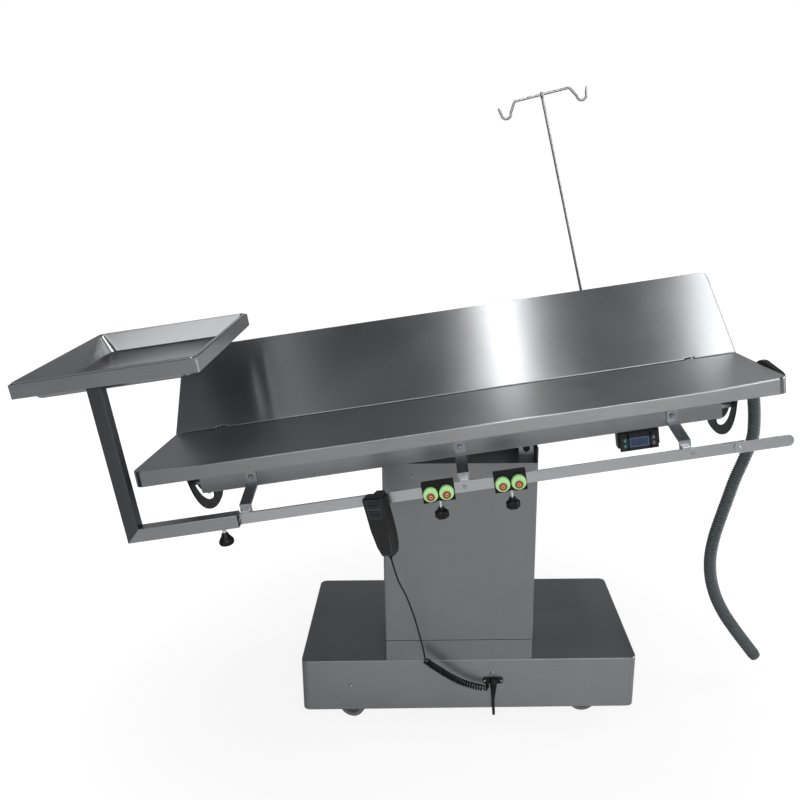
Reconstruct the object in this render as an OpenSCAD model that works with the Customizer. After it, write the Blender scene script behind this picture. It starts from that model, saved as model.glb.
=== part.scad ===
// Veterinary surgery table with an electric lifting column and a tilting V-shaped top.
// The origin is on the floor under the middle of the base. X runs along the table, Y to its back.

/* [Base] */
// Length of the base cover
base_w = 832; // [760:2:900]
// Depth of the base cover
base_d = 418; // [400:2:480]
// Height of the base cover
base_h = 137; // [120:1:160]
// Clear height under the base cover
skirt_gap = 56; // [50:1:64]
// Radius of the upright corners of the base cover
base_r = 18; // [8:1:30]
// Thickness of the sheet steel
sheet_t = 2; // [1.5:0.5:3]
// Thickness of the chassis plate
chassis_t = 6; // [4:1:10]

/* [Castors] */
// Diameter of the castor wheels
wheel_d = 75; // [65:1:80]
// Width of the castor wheels
wheel_w = 22; // [16:1:28]
// Height from the floor to the chassis plate
castor_h = 100; // [96:1:110]
// Offset of the wheel behind its swivel
castor_trail = 28; // [20:1:34]
// Inset of a castor's swivel from the end of the base
castor_in_x = 91; // [86:1:130]
// Inset of a castor's swivel from the front or the back of the base
castor_in_y = 69; // [68:1:90]

/* [Lifting column] */
// Width of the column
col_w = 362; // [340:2:400]
// Depth of the column
col_d = 360; // [330:2:380]
// Place of the column's middle, measured from the base's middle
col_x = -27; // [-60:1:30]
// Height of the fixed collar at the column's foot
collar_h = 55; // [40:1:70]
// Height of the moving shroud
shroud_h = 460; // [440:1:480]
// Lift of the table
lift_stroke = 300; // [200:10:300]
// Width of the lifting profile
profile_w = 140; // [110:2:150]
// Depth of the lifting profile
profile_d = 110; // [90:2:130]

/* [Tilting frame] */
// Slope of the top at rest, left end down
tilt_rest = 8.5; // [6:0.5:9]
// Place of the tilt pin, measured from the base's middle
pivot_x = 129; // [120:1:134]
// Height of the tilt pin above the shroud
pivot_up = 23.5; // [22:0.5:34]
// Diameter of the tilt pin
pivot_d = 12; // [10:1:16]
// Place of the tilt pin, measured from the middle of the top
pivot_u = 149; // [120:1:170]
// Depth of the tilt pin below the front edge of the top
pivot_w = 126; // [122:1:134]
// Thickness of the pivot ears and lugs
ear_t = 8; // [6:1:10]
// Height of the side beams
beam_h = 50; // [40:1:54]
// Width of the side beams
beam_t = 30; // [25:1:32]
// Reach of the side beams to the left of the middle of the top
beam_left = 597; // [592:1:625]
// Reach of the side beams to the right of the middle of the top
beam_right = 590; // [588:1:632]
// Height of the cross members
cross_h = 20; // [15:1:22]

/* [Panels] */
// Length of both panels
table_l = 1410; // [1340:10:1500]
// Width of the front panel, from the hinge to the edge
front_w = 321; // [305:1:330]
// Width of the rear panel, from the hinge to the edge
rear_w = 276; // [265:1:300]
// Rise of the front panel from level
front_rise = 2.4; // [1:0.2:4]
// Rise of the rear panel at rest
rear_rise = 39.6; // [30:0.2:42]
// Depth of the panels' edge flanges
flange_h = 30; // [24:1:34]
// Radius of the panels' outer corners
panel_r = 20; // [10:1:40]
// Rise of the two outer corners of the front panel
corner_rise = 4; // [2:0.5:6]
// Length of the creased facet at each end of the front panel
facet_l = 150; // [100:5:200]
// Height of a panel's skin above the hinge
skin_up = 7; // [6:0.5:8]
// Distance from the hinge to the front panel's inner edge
hinge_gap = 10; // [9.5:0.5:12]
// Distance from the hinge to the rear panel's inner edge
rear_gap = 3.5; // [3.5:0.5:6]
// Outer radius of the sector plates
sector_r = 190; // [184:1:194]
// Width of the slot in the sector plates
slot_w = 16; // [14:1:18]

/* [Drain] */
// Width of the drain trough
trough_w = 64; // [50:1:66]
// Outer diameter of the drain hose over its ribs
hose_d = 33; // [31:0.5:36]
// Bore of the drain hose
hose_bore = 25; // [23:0.5:26]

/* [Rails] */
// Height of the accessory rails
rail_h = 25; // [20:1:26]
// Thickness of the accessory rails
rail_t = 6; // [5:0.5:7]
// Depth of the rails' top edge below the front edge of the top
rail_drop = 117; // [112:1:120]
// Distance of the front rail's front face from the hinge
rail_out = 334; // [326:1:345]
// Width of the rail hangers
hanger_w = 25; // [20:1:30]

/* [Tray] */
// Length of the instrument tray's frame along the table
tray_w = 391; // [340:1:391]
// Depth of the instrument tray's frame
tray_d = 507; // [440:1:507]
// Height of the tray frame
tray_h = 30; // [24:1:32]
// Height of the tray's upper edge above the front edge of the top
tray_up = 236; // [234:1:250]
// Width of the square tube of the tray arm
arm_t = 30; // [30:1:32]
// Wall of the square tube of the tray arm
arm_wall = 2; // [1.5:0.5:2]

/* [Accessories] */
// Width of a rope cleat's plate
cleat_w = 70; // [68:1:80]
// Height of a rope cleat's plate
cleat_h = 45; // [43:1:50]
// Diameter of a cleat's cam roller
cam_d = 32; // [28:1:32]
// Width of the handset
handset_w = 50; // [44:1:54]
// Length of the handset
handset_l = 138; // [130:1:150]
// Diameter of the infusion pole
pole_d = 8; // [7:0.5:10]
// Length of the infusion pole
pole_l = 840; // [700:5:900]
// Width of the thermostat's bezel
thermo_w = 87; // [80:1:96]
// Height of the thermostat's bezel
thermo_h = 42; // [38:1:46]

/* [Hidden] */
$fn = 48;

steel = [0.72, 0.73, 0.74];
dull_steel = [0.58, 0.60, 0.61];
dark_steel = [0.25, 0.26, 0.27];
black = [0.07, 0.07, 0.08];
grey = [0.55, 0.56, 0.57];
pale_green = [0.62, 0.93, 0.55];

// Clearances of the running fits, of the seats and of the free gaps
fit = 0.05;
seat = 0.3;
gap = 2;

// Base and column
base_top = skirt_gap + base_h;
base_front = -base_d / 2;
chassis_top = castor_h + chassis_t;
col_y = base_front + col_d / 2;
col_r = 6;
collar_gap = 1.5;
stiffener_h = 25;
shroud_z = base_top + collar_h + collar_gap;
shroud_top = shroud_z + shroud_h;
sheath_inset = sheet_t + 3;
flange_t = 2;
head_t = 8;
head_drop = 62;
head_z = shroud_top - head_drop - head_t;
sheath_top = head_z - 10;
profile_top = head_z - 40;
profile_wall = 5;
profile_overlap = 100;
inner_z = profile_top - lift_stroke - profile_overlap;
foot_out = 22;
foot_t = 8;
motor_d = 64;
gear_h = 26;
motor_h = 78;
motor_x = col_x + profile_w / 2 + motor_d / 2 + 10;

// Castors
castor_pitch_x = base_w - 2 * castor_in_x;
castor_pitch_y = base_d - 2 * castor_in_y;
stem_d = 12;
stem_head = 20;
crown_d = 46;
crown_t = 8;
fork_t = 3;
axle_d = 8;
castor_turn = [-25, 180, 35, 150];
castor_side = [[-1, -1], [1, -1], [-1, 1], [1, 1]];

// Tilting frame, in the top's own frame: X along the top, Z square to it, zero at the front edge
pivot_z = shroud_top + pivot_up;
ear_w = 35;
ear_r = ear_w / 2;
ear_in = 38;
head_cap = 4;
hinge_y = -13;
hinge_z = -20;
beam_bottom = -97;
beam_front = base_front - 4 - beam_t;
beam_reach = hinge_y - beam_front;
cross_w = 30;
end_cross_x = 572;
lug_front = base_front + ear_in + ear_t + gap;
lug_rear = 2 * col_y - lug_front;
rod_u = -130;
rod_w = 115;
rod_d = 18;
rod_pin_d = 12;
rod_slot = 10;
rod_eye_t = 12;
rod_eye_r = 16;
rod_x = pivot_x + (rod_u - pivot_u) * cos(tilt_rest) - (pivot_w - rod_w) * sin(tilt_rest);
rod_z = pivot_z + (rod_u - pivot_u) * sin(tilt_rest) + (pivot_w - rod_w) * cos(tilt_rest);
actuator_d = 48;
actuator_l = 180;
actuator_z = head_z - 15 - actuator_l;

// Panels
hinge_pin_d = 8;
hinge_eye_r = 7;
lug_t = 4;
lug_l = 30;
notch_w = 24;
notch_play = 1.5;
inner_drop = 10;
arch_x = end_cross_x + cross_w / 2 + lug_t / 2;
arch_leg = 14;
sector_t = 4;
sector_in = 65;
sector_x = table_l / 2 - sector_in;
sector_step = 12;
sector_band = 60;
slot_r = sector_r - 32;
stud_angle = 30;
sector_low = 12;
sector_high = 104;

// Drain
trough_x = 694;
trough_top = hinge_z - 13;
trough_bottom = beam_bottom + cross_h;
spigot_d = 25;
spigot_bend = 27;
spigot_end = 131;
barb_l = 20;
barb_d = hose_bore * cos(180 / 8) - 2 * seat;
hose_x = 743;

// Rails and hangers
rail_y = hinge_y - rail_out + rail_t / 2;
rail_left = 700;
rail_right = 706;
link_t = 4;
link_x = 590;
rivet_d = 9;
rivet_head = 2;
hanger_t = 5;
hanger_x = [-479, -4, 476];

// Tray
tray_left = 895;
tray_front = rail_y - arm_t / 2;
arm_x = 725;
arm_end = 497;
arm_z = -rail_drop - rail_h / 2;
arm_play = (arm_t - 2 * arm_wall - rail_h) / 2;
tray_z = tray_up - tray_h;
ledge = 22;
ledge_t = 3;
pan_rim = 24;
pan_depth = 18;
knob_x = -535;

// Cleats
cleat_x = [-62, 94];
cam_pitch = 34.6;
cleat_t = 4;
cam_t = 12;
cleat_z = -rail_drop - rail_h / 2;
cam_z = cleat_z - 6;
cam_pin_d = 6;
knob_drop = [49, 53];

// Handset
handset_x = -192;
handset_up = 6;
handset_t = 28;
handset_lean = 4.5;
handset_turn = 24;
face_in = 4;
hook_t = 4;
hook_drop = 14;
hook_w = 20;
hook_in = ((handset_w + hook_w) / 2 * sin(handset_turn) + rail_t + 2 * seat) / cos(handset_turn);
hook_z = hook_w / 2 * sin(handset_lean) + seat - handset_up;
sleeve_l = 9;
button_w = 27;
button_h = 7.5;
button_t = 2.7;
button_z = [-10, -19, -32, -41];

// Infusion pole
pole_x = 418;
pole_lean = 5.4;
clamp_h = 44;
hook_wire = 6;

// Thermostat
thermo_x = 398;
thermo_drop = 2;
key_w = 6;
key_h = 8;

// Routes of the cords
lead_d = 4;
curl_d = 17;
curls = 26;
mains_d = 7;
lead_route = [[-182.05, -370.7, 552.9], [-179.2, -370.3, 540.5], [-174, -365, 517],
    [-166, -347, 480], [-152, -316, 430], [-139, -294, 378], [-129, -276, 330], [-119, -261, 278],
    [-113, -254, 244], [-110, -252.5, 224]];
curly_route = [[-109, -247, 217], [-91, -244, 200], [-72, -241, 184], [-53, -237, 168],
    [-33, -234, 153], [-12, -231, 141], [11, -228, 131], [34, -226, 124]];
mains_route = [[59, -222, 94], [59, -222, 78], [60, -222, 62], [61, -218, 47], [62, -208, 36],
    [63, -194, 31], [64, -175, 28], [66, -150, 20], [69, -120, 10], [72, -90, 5], [75, -55, 4],
    [77, -10, 4], [78, 50, 4], [78, 110, 4], [77, 170, 4], [76, 230, 4], [76, 299.4, 4]];
tail_route = [[72.2, 300.6, 11.6], [72.2, 316, 11.6], [71.6, 330, 11.2], [70, 345, 8.4], [67.5, 362, 4.8],
    [64, 380, 4]];
hose_route = [[717, -13, 815], [725, -13, 759], [726, -13, 702], [710, -13, 646], [692, -13, 592],
    [678, -13, 537], [664, -13, 481], [652, -13, 426], [647, -13, 369], [653, -13, 312],
    [670, -13, 257], [696, -13, 206], [728, -13, 159], [763, -13, 113], [798, -13, 68]];
coil_loops = 8;
coil_r = 55;
coil_pitch = mains_d + 0.6;
coil_at = [21, 300, 4];

// Vector and tube functions
function unit(v) = v / norm(v);
function tangent(p, i) =
    unit(p[min(i + 1, len(p) - 1)] - p[max(i - 1, 0)]);
function side_of(t) = unit(cross(t, abs(t[2]) < 0.9 ? [0, 0, 1] : [1, 0, 0]));
function carried(n, t) = unit(n - (n * t) * t);
function normals(p) = [
    for (i = 0, n = side_of(tangent(p, 0)); i < len(p);
         n = i + 1 < len(p) ? carried(n, tangent(p, i + 1)) : n, i = i + 1) n];
function spline_at(p, k, f) =
    let (a = p[max(k - 1, 0)], b = p[k], c = p[k + 1], d = p[min(k + 2, len(p) - 1)])
    0.5 * (2 * b + (c - a) * f + (2 * a - 5 * b + 4 * c - d) * f * f
        + (3 * b - a - 3 * c + d) * f * f * f);
function spline(p, n) = concat(
    [for (k = [0:len(p) - 2]) for (j = [0:n - 1]) spline_at(p, k, j / n)], [p[len(p) - 1]]);
function rings(p, radii, sides) =
    let (ns = normals(p))
    [for (i = [0:len(p) - 1]) let (t = tangent(p, i), n = ns[i], b = cross(t, n))
        for (k = [0:sides - 1])
            p[i] + radii[i] * (cos(k * 360 / sides) * n + sin(k * 360 / sides) * b)];
function skin_faces(count, sides, start, out) = [
    for (i = [0:count - 2]) for (k = [0:sides - 1]) for (h = [0, 1])
        let (a = start + i * sides + k, b = start + i * sides + (k + 1) % sides)
        h == 0 ? (out ? [a, a + sides, b] : [a, b, a + sides])
               : (out ? [b, a + sides, b + sides] : [b, b + sides, a + sides])];
function path_length(p) = len(p) < 2 ? 0
    : let (steps = [for (i = [1:len(p) - 1]) norm(p[i] - p[i - 1])]) steps * [for (s = steps) 1];
function least_gap(p, skip, d) =
    min([for (i = [0:len(p) - 1 - skip]) for (j = [i + skip:len(p) - 1]) norm(p[i] - p[j])]) - d;

// A closed round tube along a path
module tube(p, d, sides) {
    n = len(p);
    caps = [[for (k = [sides - 1:-1:0]) k], [for (k = [0:sides - 1]) (n - 1) * sides + k]];
    polyhedron(rings(p, [for (q = p) d / 2], sides),
        concat([for (f = skin_faces(n, sides, 0, true)) [f[0], f[2], f[1]]], [caps[1], caps[0]]));
}

// Exact rounded upright block, made of two boxes and four posts
module round_block(w, d, h, r) {
    rr = max(min(r, w / 2 - 0.1, d / 2 - 0.1), 0.1);
    translate([-w / 2 + rr, -d / 2, 0]) cube([w - 2 * rr, d, h]);
    translate([-w / 2, -d / 2 + rr, 0]) cube([w, d - 2 * rr, h]);
    for (sx = [-1, 1]) for (sy = [-1, 1])
        translate([sx * (w / 2 - rr), sy * (d / 2 - rr), 0]) cylinder(h = h, r = rr);
}

// Places what follows in the frame of the tilted top
module on_top() {
    translate([pivot_x, 0, pivot_z]) rotate([0, -tilt_rest, 0])
        translate([-pivot_u, 0, pivot_w]) children();
}

// A cylinder along Y, from y0 to y1
module bar_y(x, z, y0, y1, d) {
    translate([x, y0, z]) rotate([-90, 0, 0]) cylinder(h = y1 - y0, d = d);
}

// A cylinder along X, from x0 to x1
module bar_x(y, z, x0, x1, d) {
    translate([x0, y, z]) rotate([0, 90, 0]) cylinder(h = x1 - x0, d = d);
}

// Base cover: a folded box of sheet steel, open underneath, with a window for the column
module base_cover() {
    color(steel) difference() {
        translate([0, 0, skirt_gap]) round_block(base_w, base_d, base_h, base_r);
        translate([0, 0, skirt_gap - 1])
            round_block(base_w - 2 * sheet_t, base_d - 2 * sheet_t, base_h + 1 - sheet_t,
                base_r - sheet_t);
        translate([col_x, col_y, base_top - sheet_t - 1])
            round_block(col_w - 60, col_d - 60, sheet_t + 2, col_r);
        translate([inlet_x, base_front - 1, inlet_z]) rotate([-90, 0, 0])
            cylinder(h = sheet_t + 2, d = 12);
        translate([inlet_x, base_front - 1, ring_z]) rotate([-90, 0, 0])
            cylinder(h = sheet_t + 2, d = ring_d - 2);
        translate([jack_x, base_front - 1, jack_z]) rotate([-90, 0, 0])
            cylinder(h = sheet_t + 2, d = jack_d - 2);
    }
}

// Places and sizes of what is fixed in the front of the base
inlet_x = 58;
inlet_z = 135;
inlet_w = 52;
inlet_h = 18;
inlet_t = 4;
relief_d = 18;
relief_l = 41;
ring_z = 153;
ring_d = 12;
jack_x = 44;
jack_z = 119;
jack_d = 10;

// Chassis plate with the four castor stems
module chassis() {
    inner_w = base_w - 2 * sheet_t - 2 * seat;
    inner_d = base_d - 2 * sheet_t - 2 * seat;
    color(dull_steel) union() {
        translate([0, 0, castor_h])
            round_block(inner_w, inner_d, chassis_t, base_r - sheet_t);
        for (s = castor_side) translate([s[0] * castor_pitch_x / 2, s[1] * castor_pitch_y / 2, 0]) {
            translate([0, 0, castor_h - crown_t - 1 - 2]) cylinder(h = crown_t + 3 + 1, d = stem_d);
            translate([0, 0, castor_h - crown_t - 1 - 4]) cylinder(h = 3.5, d = stem_head);
        }
        for (s = [-1, 1]) translate([s * inner_w / 4 - 3, -inner_d / 2 + 4, chassis_top - 1])
            cube([6, inner_d - 8, stiffener_h]);
    }
}

// Fixed collar at the column's foot and the sheath inside the moving shroud
module fixed_shroud() {
    sw = col_w - 2 * sheath_inset;
    sd = col_d - 2 * sheath_inset;
    color(steel) translate([col_x, col_y, base_top]) difference() {
        union() {
            round_block(col_w, col_d, collar_h, col_r);
            round_block(sw, sd, sheath_top - base_top, col_r);
        }
        difference() {
            translate([0, 0, flange_t])
                round_block(col_w - 2 * sheet_t, col_d - 2 * sheet_t, collar_h, col_r - sheet_t);
            translate([0, 0, flange_t - 1])
                round_block(sw, sd, sheath_top, col_r);
        }
        translate([0, 0, -1])
            round_block(sw - 2 * sheet_t, sd - 2 * sheet_t, sheath_top, col_r - sheet_t);
    }
}

// Rectangular hollow profile standing on z0
module profile(w, d, wall, z0, z1) {
    translate([col_x, col_y, z0]) difference() {
        round_block(w, d, z1 - z0, 8);
        translate([0, 0, -1]) round_block(w - 2 * wall, d - 2 * wall, z1 - z0 + 2, 4);
    }
}

// Fixed outer profile of the lifting column, with the flange round its foot
module lift_column_outer() {
    color(dull_steel) {
        profile(profile_w, profile_d, profile_wall, chassis_top, profile_top);
        translate([col_x, col_y, chassis_top]) difference() {
            round_block(profile_w + 2 * foot_out, profile_d + 2 * foot_out, foot_t, 6);
            translate([0, 0, -1]) round_block(profile_w + 2 * seat, profile_d + 2 * seat, foot_t + 2, 8);
        }
    }
}

// Moving inner profile of the lifting column
module lift_column_inner() {
    inset = profile_wall + seat;
    color(steel)
        profile(profile_w - 2 * inset, profile_d - 2 * inset, 4, inner_z, head_z);
}

// Motor and gearbox at the foot of the lifting column
module lift_motor() {
    color(black) translate([motor_x + 16, col_y, chassis_top]) {
        translate([-motor_d / 2 - 2, -motor_d / 2, 0]) cube([motor_d, motor_d, gear_h]);
        cylinder(h = motor_h, d = motor_d - 8);
    }
}

// Cord gland with its strain relief, the sleeved hole above it and the socket of the curly cord
module base_inlets() {
    color(black) union() {
        translate([inlet_x, base_front, inlet_z]) rotate([90, 0, 0]) linear_extrude(inlet_t)
            hull() {
                circle(d = inlet_h, $fn = 32);
                for (s = [-1, 1]) translate([s * (inlet_w / 2 - 5), 0]) circle(d = 10, $fn = 32);
            }
        bar_y(inlet_x, inlet_z, base_front - inlet_t - relief_d / 2, base_front + 6, 11);
        translate([inlet_x + 1, base_front - inlet_t - relief_d / 2, inlet_z - relief_l])
            cylinder(h = relief_l, d1 = mains_d + 2, d2 = relief_d);
        translate([inlet_x + 1, base_front - inlet_t - relief_d / 2, inlet_z])
            sphere(d = relief_d);
    }
    color(steel) difference() {
        union() {
            bar_y(inlet_x, ring_z, base_front - 3, base_front, ring_d);
            bar_y(inlet_x, ring_z, base_front - 1, base_front + 6, ring_d - 2.4);
        }
        bar_y(inlet_x, ring_z, base_front - 4, base_front + 7, ring_d - 7);
    }
    color(black) {
        bar_y(jack_x, jack_z, base_front - 8, base_front, jack_d);
        bar_y(jack_x, jack_z, base_front - 1, base_front + 10, jack_d - 2.4);
    }
}

// A castor fork, its wheel trailing along X, swivel axis on the origin
module castor_fork() {
    axle_z = wheel_d / 2;
    cheek = wheel_w / 2 + 1;
    crown_z = castor_h - crown_t - 1;
    color(dull_steel) difference() {
        union() {
            translate([0, 0, crown_z]) cylinder(h = crown_t, d = crown_d);
            for (s = [-1, 1]) translate([0, s * (cheek + fork_t / 2), 0]) rotate([90, 0, 0])
                linear_extrude(fork_t, center = true) polygon([
                    [-16, crown_z + 2], [18, crown_z + 2], [castor_trail + 9, axle_z + 4],
                    [castor_trail + 6, axle_z - 7], [castor_trail - 6, axle_z - 7],
                    [castor_trail - 14, axle_z + 8]]);
            bar_y(castor_trail, axle_z, -cheek - fork_t - 1, cheek + fork_t + 1, axle_d);
        }
        translate([0, 0, crown_z - 1]) cylinder(h = crown_t + 2, d = stem_d + 2 * fit);
        translate([0, 0, crown_z - 20]) cylinder(h = 20, d = stem_head + 2);
    }
}

// A castor wheel with a rounded tread and a recessed disc
module castor_wheel() {
    r = wheel_d / 2;
    h = wheel_w / 2;
    color(grey) translate([castor_trail, 0, r]) rotate([90, 0, 0]) rotate_extrude($fn = 64)
        polygon([[axle_d / 2 + fit, -h], [9, -h], [11, -h + 3], [r - 11, -h + 3], [r - 9, -h],
            [r - 3, -h], [r - 0.8, -h + 3], [r, -h + 7], [r, h - 7], [r - 0.8, h - 3], [r - 3, h],
            [r - 9, h], [r - 11, h - 3], [11, h - 3], [9, h], [axle_d / 2 + fit, h]]);
}

// Places castor number i, with its own turn
module castor_place(i) {
    translate([castor_side[i][0] * castor_pitch_x / 2, castor_side[i][1] * castor_pitch_y / 2, 0])
        rotate([0, 0, castor_turn[i]]) children();
}

// Moving shroud of the column, with a raised cheek beside the tilt pin
module column_shroud() {
    color(steel) translate([col_x, col_y, shroud_z]) {
        difference() {
            round_block(col_w, col_d, shroud_h, col_r);
            translate([0, 0, -1])
                round_block(col_w - 2 * sheet_t, col_d - 2 * sheet_t, shroud_h + 2, col_r - sheet_t);
        }
        translate([col_w / 2 - sheet_t, -col_d / 2 + col_r, shroud_h - 20])
            cube([sheet_t, 100, 20 + pivot_up + 10]);
    }
}

// Head plate of the lift, with the two pivot ears and the bracket of the tilt actuator
module lift_head() {
    in_w = col_w - 2 * sheet_t - 2 * seat;
    in_d = col_d - 2 * sheet_t - 2 * seat;
    ear_ys = [base_front + ear_in, 2 * col_y - base_front - ear_in - ear_t];
    color(dull_steel) difference() {
        union() {
            translate([col_x, col_y, head_z]) round_block(in_w, in_d, head_t, col_r - sheet_t);
            for (y = ear_ys) {
                translate([pivot_x - ear_r, y, head_z + 1])
                    cube([ear_w, ear_t, pivot_z - head_z - 1]);
                bar_y(pivot_x, pivot_z, y, y + ear_t, ear_w);
            }
            for (s = [-1, 1])
                translate([rod_x - 18, col_y + s * (actuator_d / 2 + 5) - 3, actuator_z - 36])
                    cube([36, 6, head_z - actuator_z + 37]);
            bar_y(rod_x, actuator_z - 22, col_y - actuator_d / 2 - 5, col_y + actuator_d / 2 + 5,
                rod_pin_d);
        }
        for (y = ear_ys) bar_y(pivot_x, pivot_z, y - 1, y + ear_t + 1, pivot_d + 2 * fit);
        translate([rod_x, col_y, head_z - 1]) cylinder(h = head_t + 2, d = actuator_d - 8);
    }
}

// Tilt pin through both ears and both lugs, with a cap at each end
module tilt_pin() {
    y0 = base_front + ear_in;
    y1 = 2 * col_y - y0;
    color(black) {
        bar_y(pivot_x, pivot_z, y0 - seat - 1, y1 + seat + 1, pivot_d);
        bar_y(pivot_x, pivot_z, y0 - head_cap - seat, y0 - seat, pivot_d + 4);
        bar_y(pivot_x, pivot_z, y1 + seat, y1 + head_cap + seat, pivot_d + 4);
    }
}

// Body of the tilt actuator, standing on its pin inside the column
module tilt_actuator() {
    color(black) difference() {
        union() {
            translate([rod_x, col_y, actuator_z]) cylinder(h = actuator_l, d = actuator_d);
            translate([rod_x - 11, col_y - 10, actuator_z - 34]) cube([22, 20, 36]);
        }
        translate([rod_x, col_y, actuator_z + 20]) cylinder(h = actuator_l, d = rod_d + 2 * fit);
        bar_y(rod_x, actuator_z - 22, col_y - 30, col_y + 30, rod_pin_d + 2 * fit);
    }
}

// Rod of the tilt actuator; its eye is slotted along the table
module tilt_rod() {
    foot = actuator_z + 25;
    color(steel) difference() {
        union() {
            translate([rod_x, col_y, foot]) cylinder(h = rod_z - rod_eye_r - foot + 3, d = rod_d);
            bar_y(rod_x, rod_z, col_y - rod_eye_t / 2, col_y + rod_eye_t / 2, 2 * rod_eye_r);
            translate([rod_x - rod_d / 2, col_y - rod_eye_t / 2, rod_z - rod_eye_r - 2])
                cube([rod_d, rod_eye_t, rod_eye_r]);
        }
        for (s = [-1, 1])
            bar_y(rod_x + s * rod_slot / 2, rod_z, col_y - 20, col_y + 20, rod_pin_d + 1);
        translate([rod_x - rod_slot / 2, col_y - 20, rod_z - rod_pin_d / 2 - 0.5])
            cube([rod_slot, 40, rod_pin_d + 1]);
    }
}

// Both side beams, square tubes capped at their ends
module side_beams() {
    color(steel) on_top() for (m = [0, 1])
        translate([-beam_left, hinge_y + (m == 0 ? -beam_reach : beam_reach - beam_t), beam_bottom])
            difference() {
                cube([beam_left + beam_right, beam_t, beam_h]);
                translate([2, 2.5, 2.5])
                    cube([beam_left + beam_right - 4, beam_t - 5, beam_h - 5]);
            }
}

// One cross member of the tilting frame, with its middle at x
module cross_member(x) {
    translate([x - cross_w / 2, hinge_y - beam_reach + beam_t, beam_bottom])
        cube([cross_w, 2 * (beam_reach - beam_t), cross_h]);
}

// Cross members: two at the ends, one over the tilt pin and one over the actuator
module cross_members() {
    color(dull_steel) on_top() difference() {
        union() {
            for (x = [-end_cross_x, end_cross_x, pivot_u, rod_u]) cross_member(x);
            for (y = [lug_front, lug_rear - ear_t]) {
                translate([pivot_u - 15, y, -pivot_w]) cube([30, ear_t, pivot_w + beam_bottom + 2]);
                bar_y(pivot_u, -pivot_w, y, y + ear_t, 30);
            }
            for (s = [-1, 1]) {
                y = col_y + s * (rod_eye_t / 2 + gap + 3);
                translate([rod_u - 12, y - 3, -rod_w]) cube([24, 6, rod_w + beam_bottom + 2]);
                bar_y(rod_u, -rod_w, y - 3, y + 3, 24);
            }
            bar_y(rod_u, -rod_w, col_y - rod_eye_t / 2 - gap - 6, col_y + rod_eye_t / 2 + gap + 6,
                rod_pin_d);
        }
        for (y = [lug_front, lug_rear - ear_t])
            bar_y(pivot_u, -pivot_w, y - 1, y + ear_t + 1, pivot_d + 2 * fit);
    }
}

// One rail hanger: a flat bar folded from the beam's face forward to the back of the rail
module hanger(x) {
    back = -beam_reach;
    face = -rail_out + rail_t;
    top = beam_bottom + 38;
    bend = beam_bottom + 12;
    low = -rail_drop + 16;
    foot = -rail_drop - rail_h + 2;
    translate([x + hanger_w / 2, hinge_y, 0]) rotate([90, 0, -90]) linear_extrude(hanger_w)
        polygon([[-back, top], [-back + hanger_t, top], [-back + hanger_t, bend],
            [-face, low + 2], [-face, foot], [-face - hanger_t, foot],
            [-face - hanger_t, low - 3], [-back, bend - 6]]);
}

// Hangers of the front and the rear rail
module rail_hangers() {
    color(dull_steel) on_top() for (x = hanger_x) {
        hanger(x);
        translate([0, 2 * hinge_y, 0]) mirror([0, 1, 0]) hanger(x);
    }
}

// Front and rear accessory rails; the front one is lengthened by a link riveted to its face
module side_rails() {
    mid = -rail_drop - rail_h / 2;
    link_back = rail_y - rail_t / 2 - seat;
    color(steel) on_top() {
        translate([-rail_left, rail_y - rail_t / 2, mid - rail_h / 2])
            cube([rail_left + link_x + rail_h / 2, rail_t, rail_h]);
        translate([link_x, link_back, mid]) rotate([90, 0, 0]) linear_extrude(link_t)
            hull() {
                circle(d = rail_h);
                translate([rail_right - rail_h / 2 - link_x, 0]) circle(d = rail_h);
            }
        bar_y(link_x, mid, link_back - link_t - rivet_head, link_back - 1, rivet_d);
        translate([0, 2 * hinge_y - rail_y, 0]) {
            translate([-rail_left, -rail_t / 2, mid - rail_h / 2])
                cube([rail_left + rail_right - rail_h / 2, rail_t, rail_h]);
            bar_y(rail_right - rail_h / 2, mid, -rail_t / 2, rail_t / 2, rail_h);
        }
    }
}

// Arched hinge brackets over the trough, with the hinge pins and the studs of the sectors
module panel_brackets() {
    inner = trough_w / 2 + 1;
    outer = inner + arch_leg;
    color(dull_steel) on_top() for (s = [-1, 1]) {
        translate([s * arch_x - lug_t / 2, hinge_y, 0]) {
            for (t = [-1, 1])
                translate([0, t == 1 ? inner : -outer, beam_bottom])
                    cube([lug_t, arch_leg, hinge_z - 6 - beam_bottom]);
            translate([0, -outer, trough_top + 2]) cube([lug_t, 2 * outer, 5]);
            translate([0, -hinge_eye_r, trough_top + 2])
                cube([lug_t, 2 * hinge_eye_r, hinge_z - trough_top - 2]);
            bar_x(0, hinge_z, 0, lug_t, 2 * hinge_eye_r);
        }
        bar_x(hinge_y, hinge_z, s * arch_x - 10, s * arch_x + 10, hinge_pin_d);
        for (t = [-1, 1]) {
            y = hinge_y + t * slot_r * cos(stud_angle);
            z = hinge_z - slot_r * sin(stud_angle);
            reach = s * (sector_x + (t == 1 ? sector_step : 0) + sector_t / 2 + 6);
            root = s * (end_cross_x + cross_w / 2);
            side = hinge_y + t * (beam_reach - beam_t);
            bar_x(y, z, min(reach, root), max(reach, root), slot_w - 2);
            bar_x(y, z, min(reach, reach - s * 4), max(reach, reach - s * 4), slot_w + 10);
            translate([root + (s - 1) * 4, min(y - t * 8, side), z - 10])
                cube([8, max(y - t * 8, side) - min(y - t * 8, side), 20]);
        }
    }
}

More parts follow.
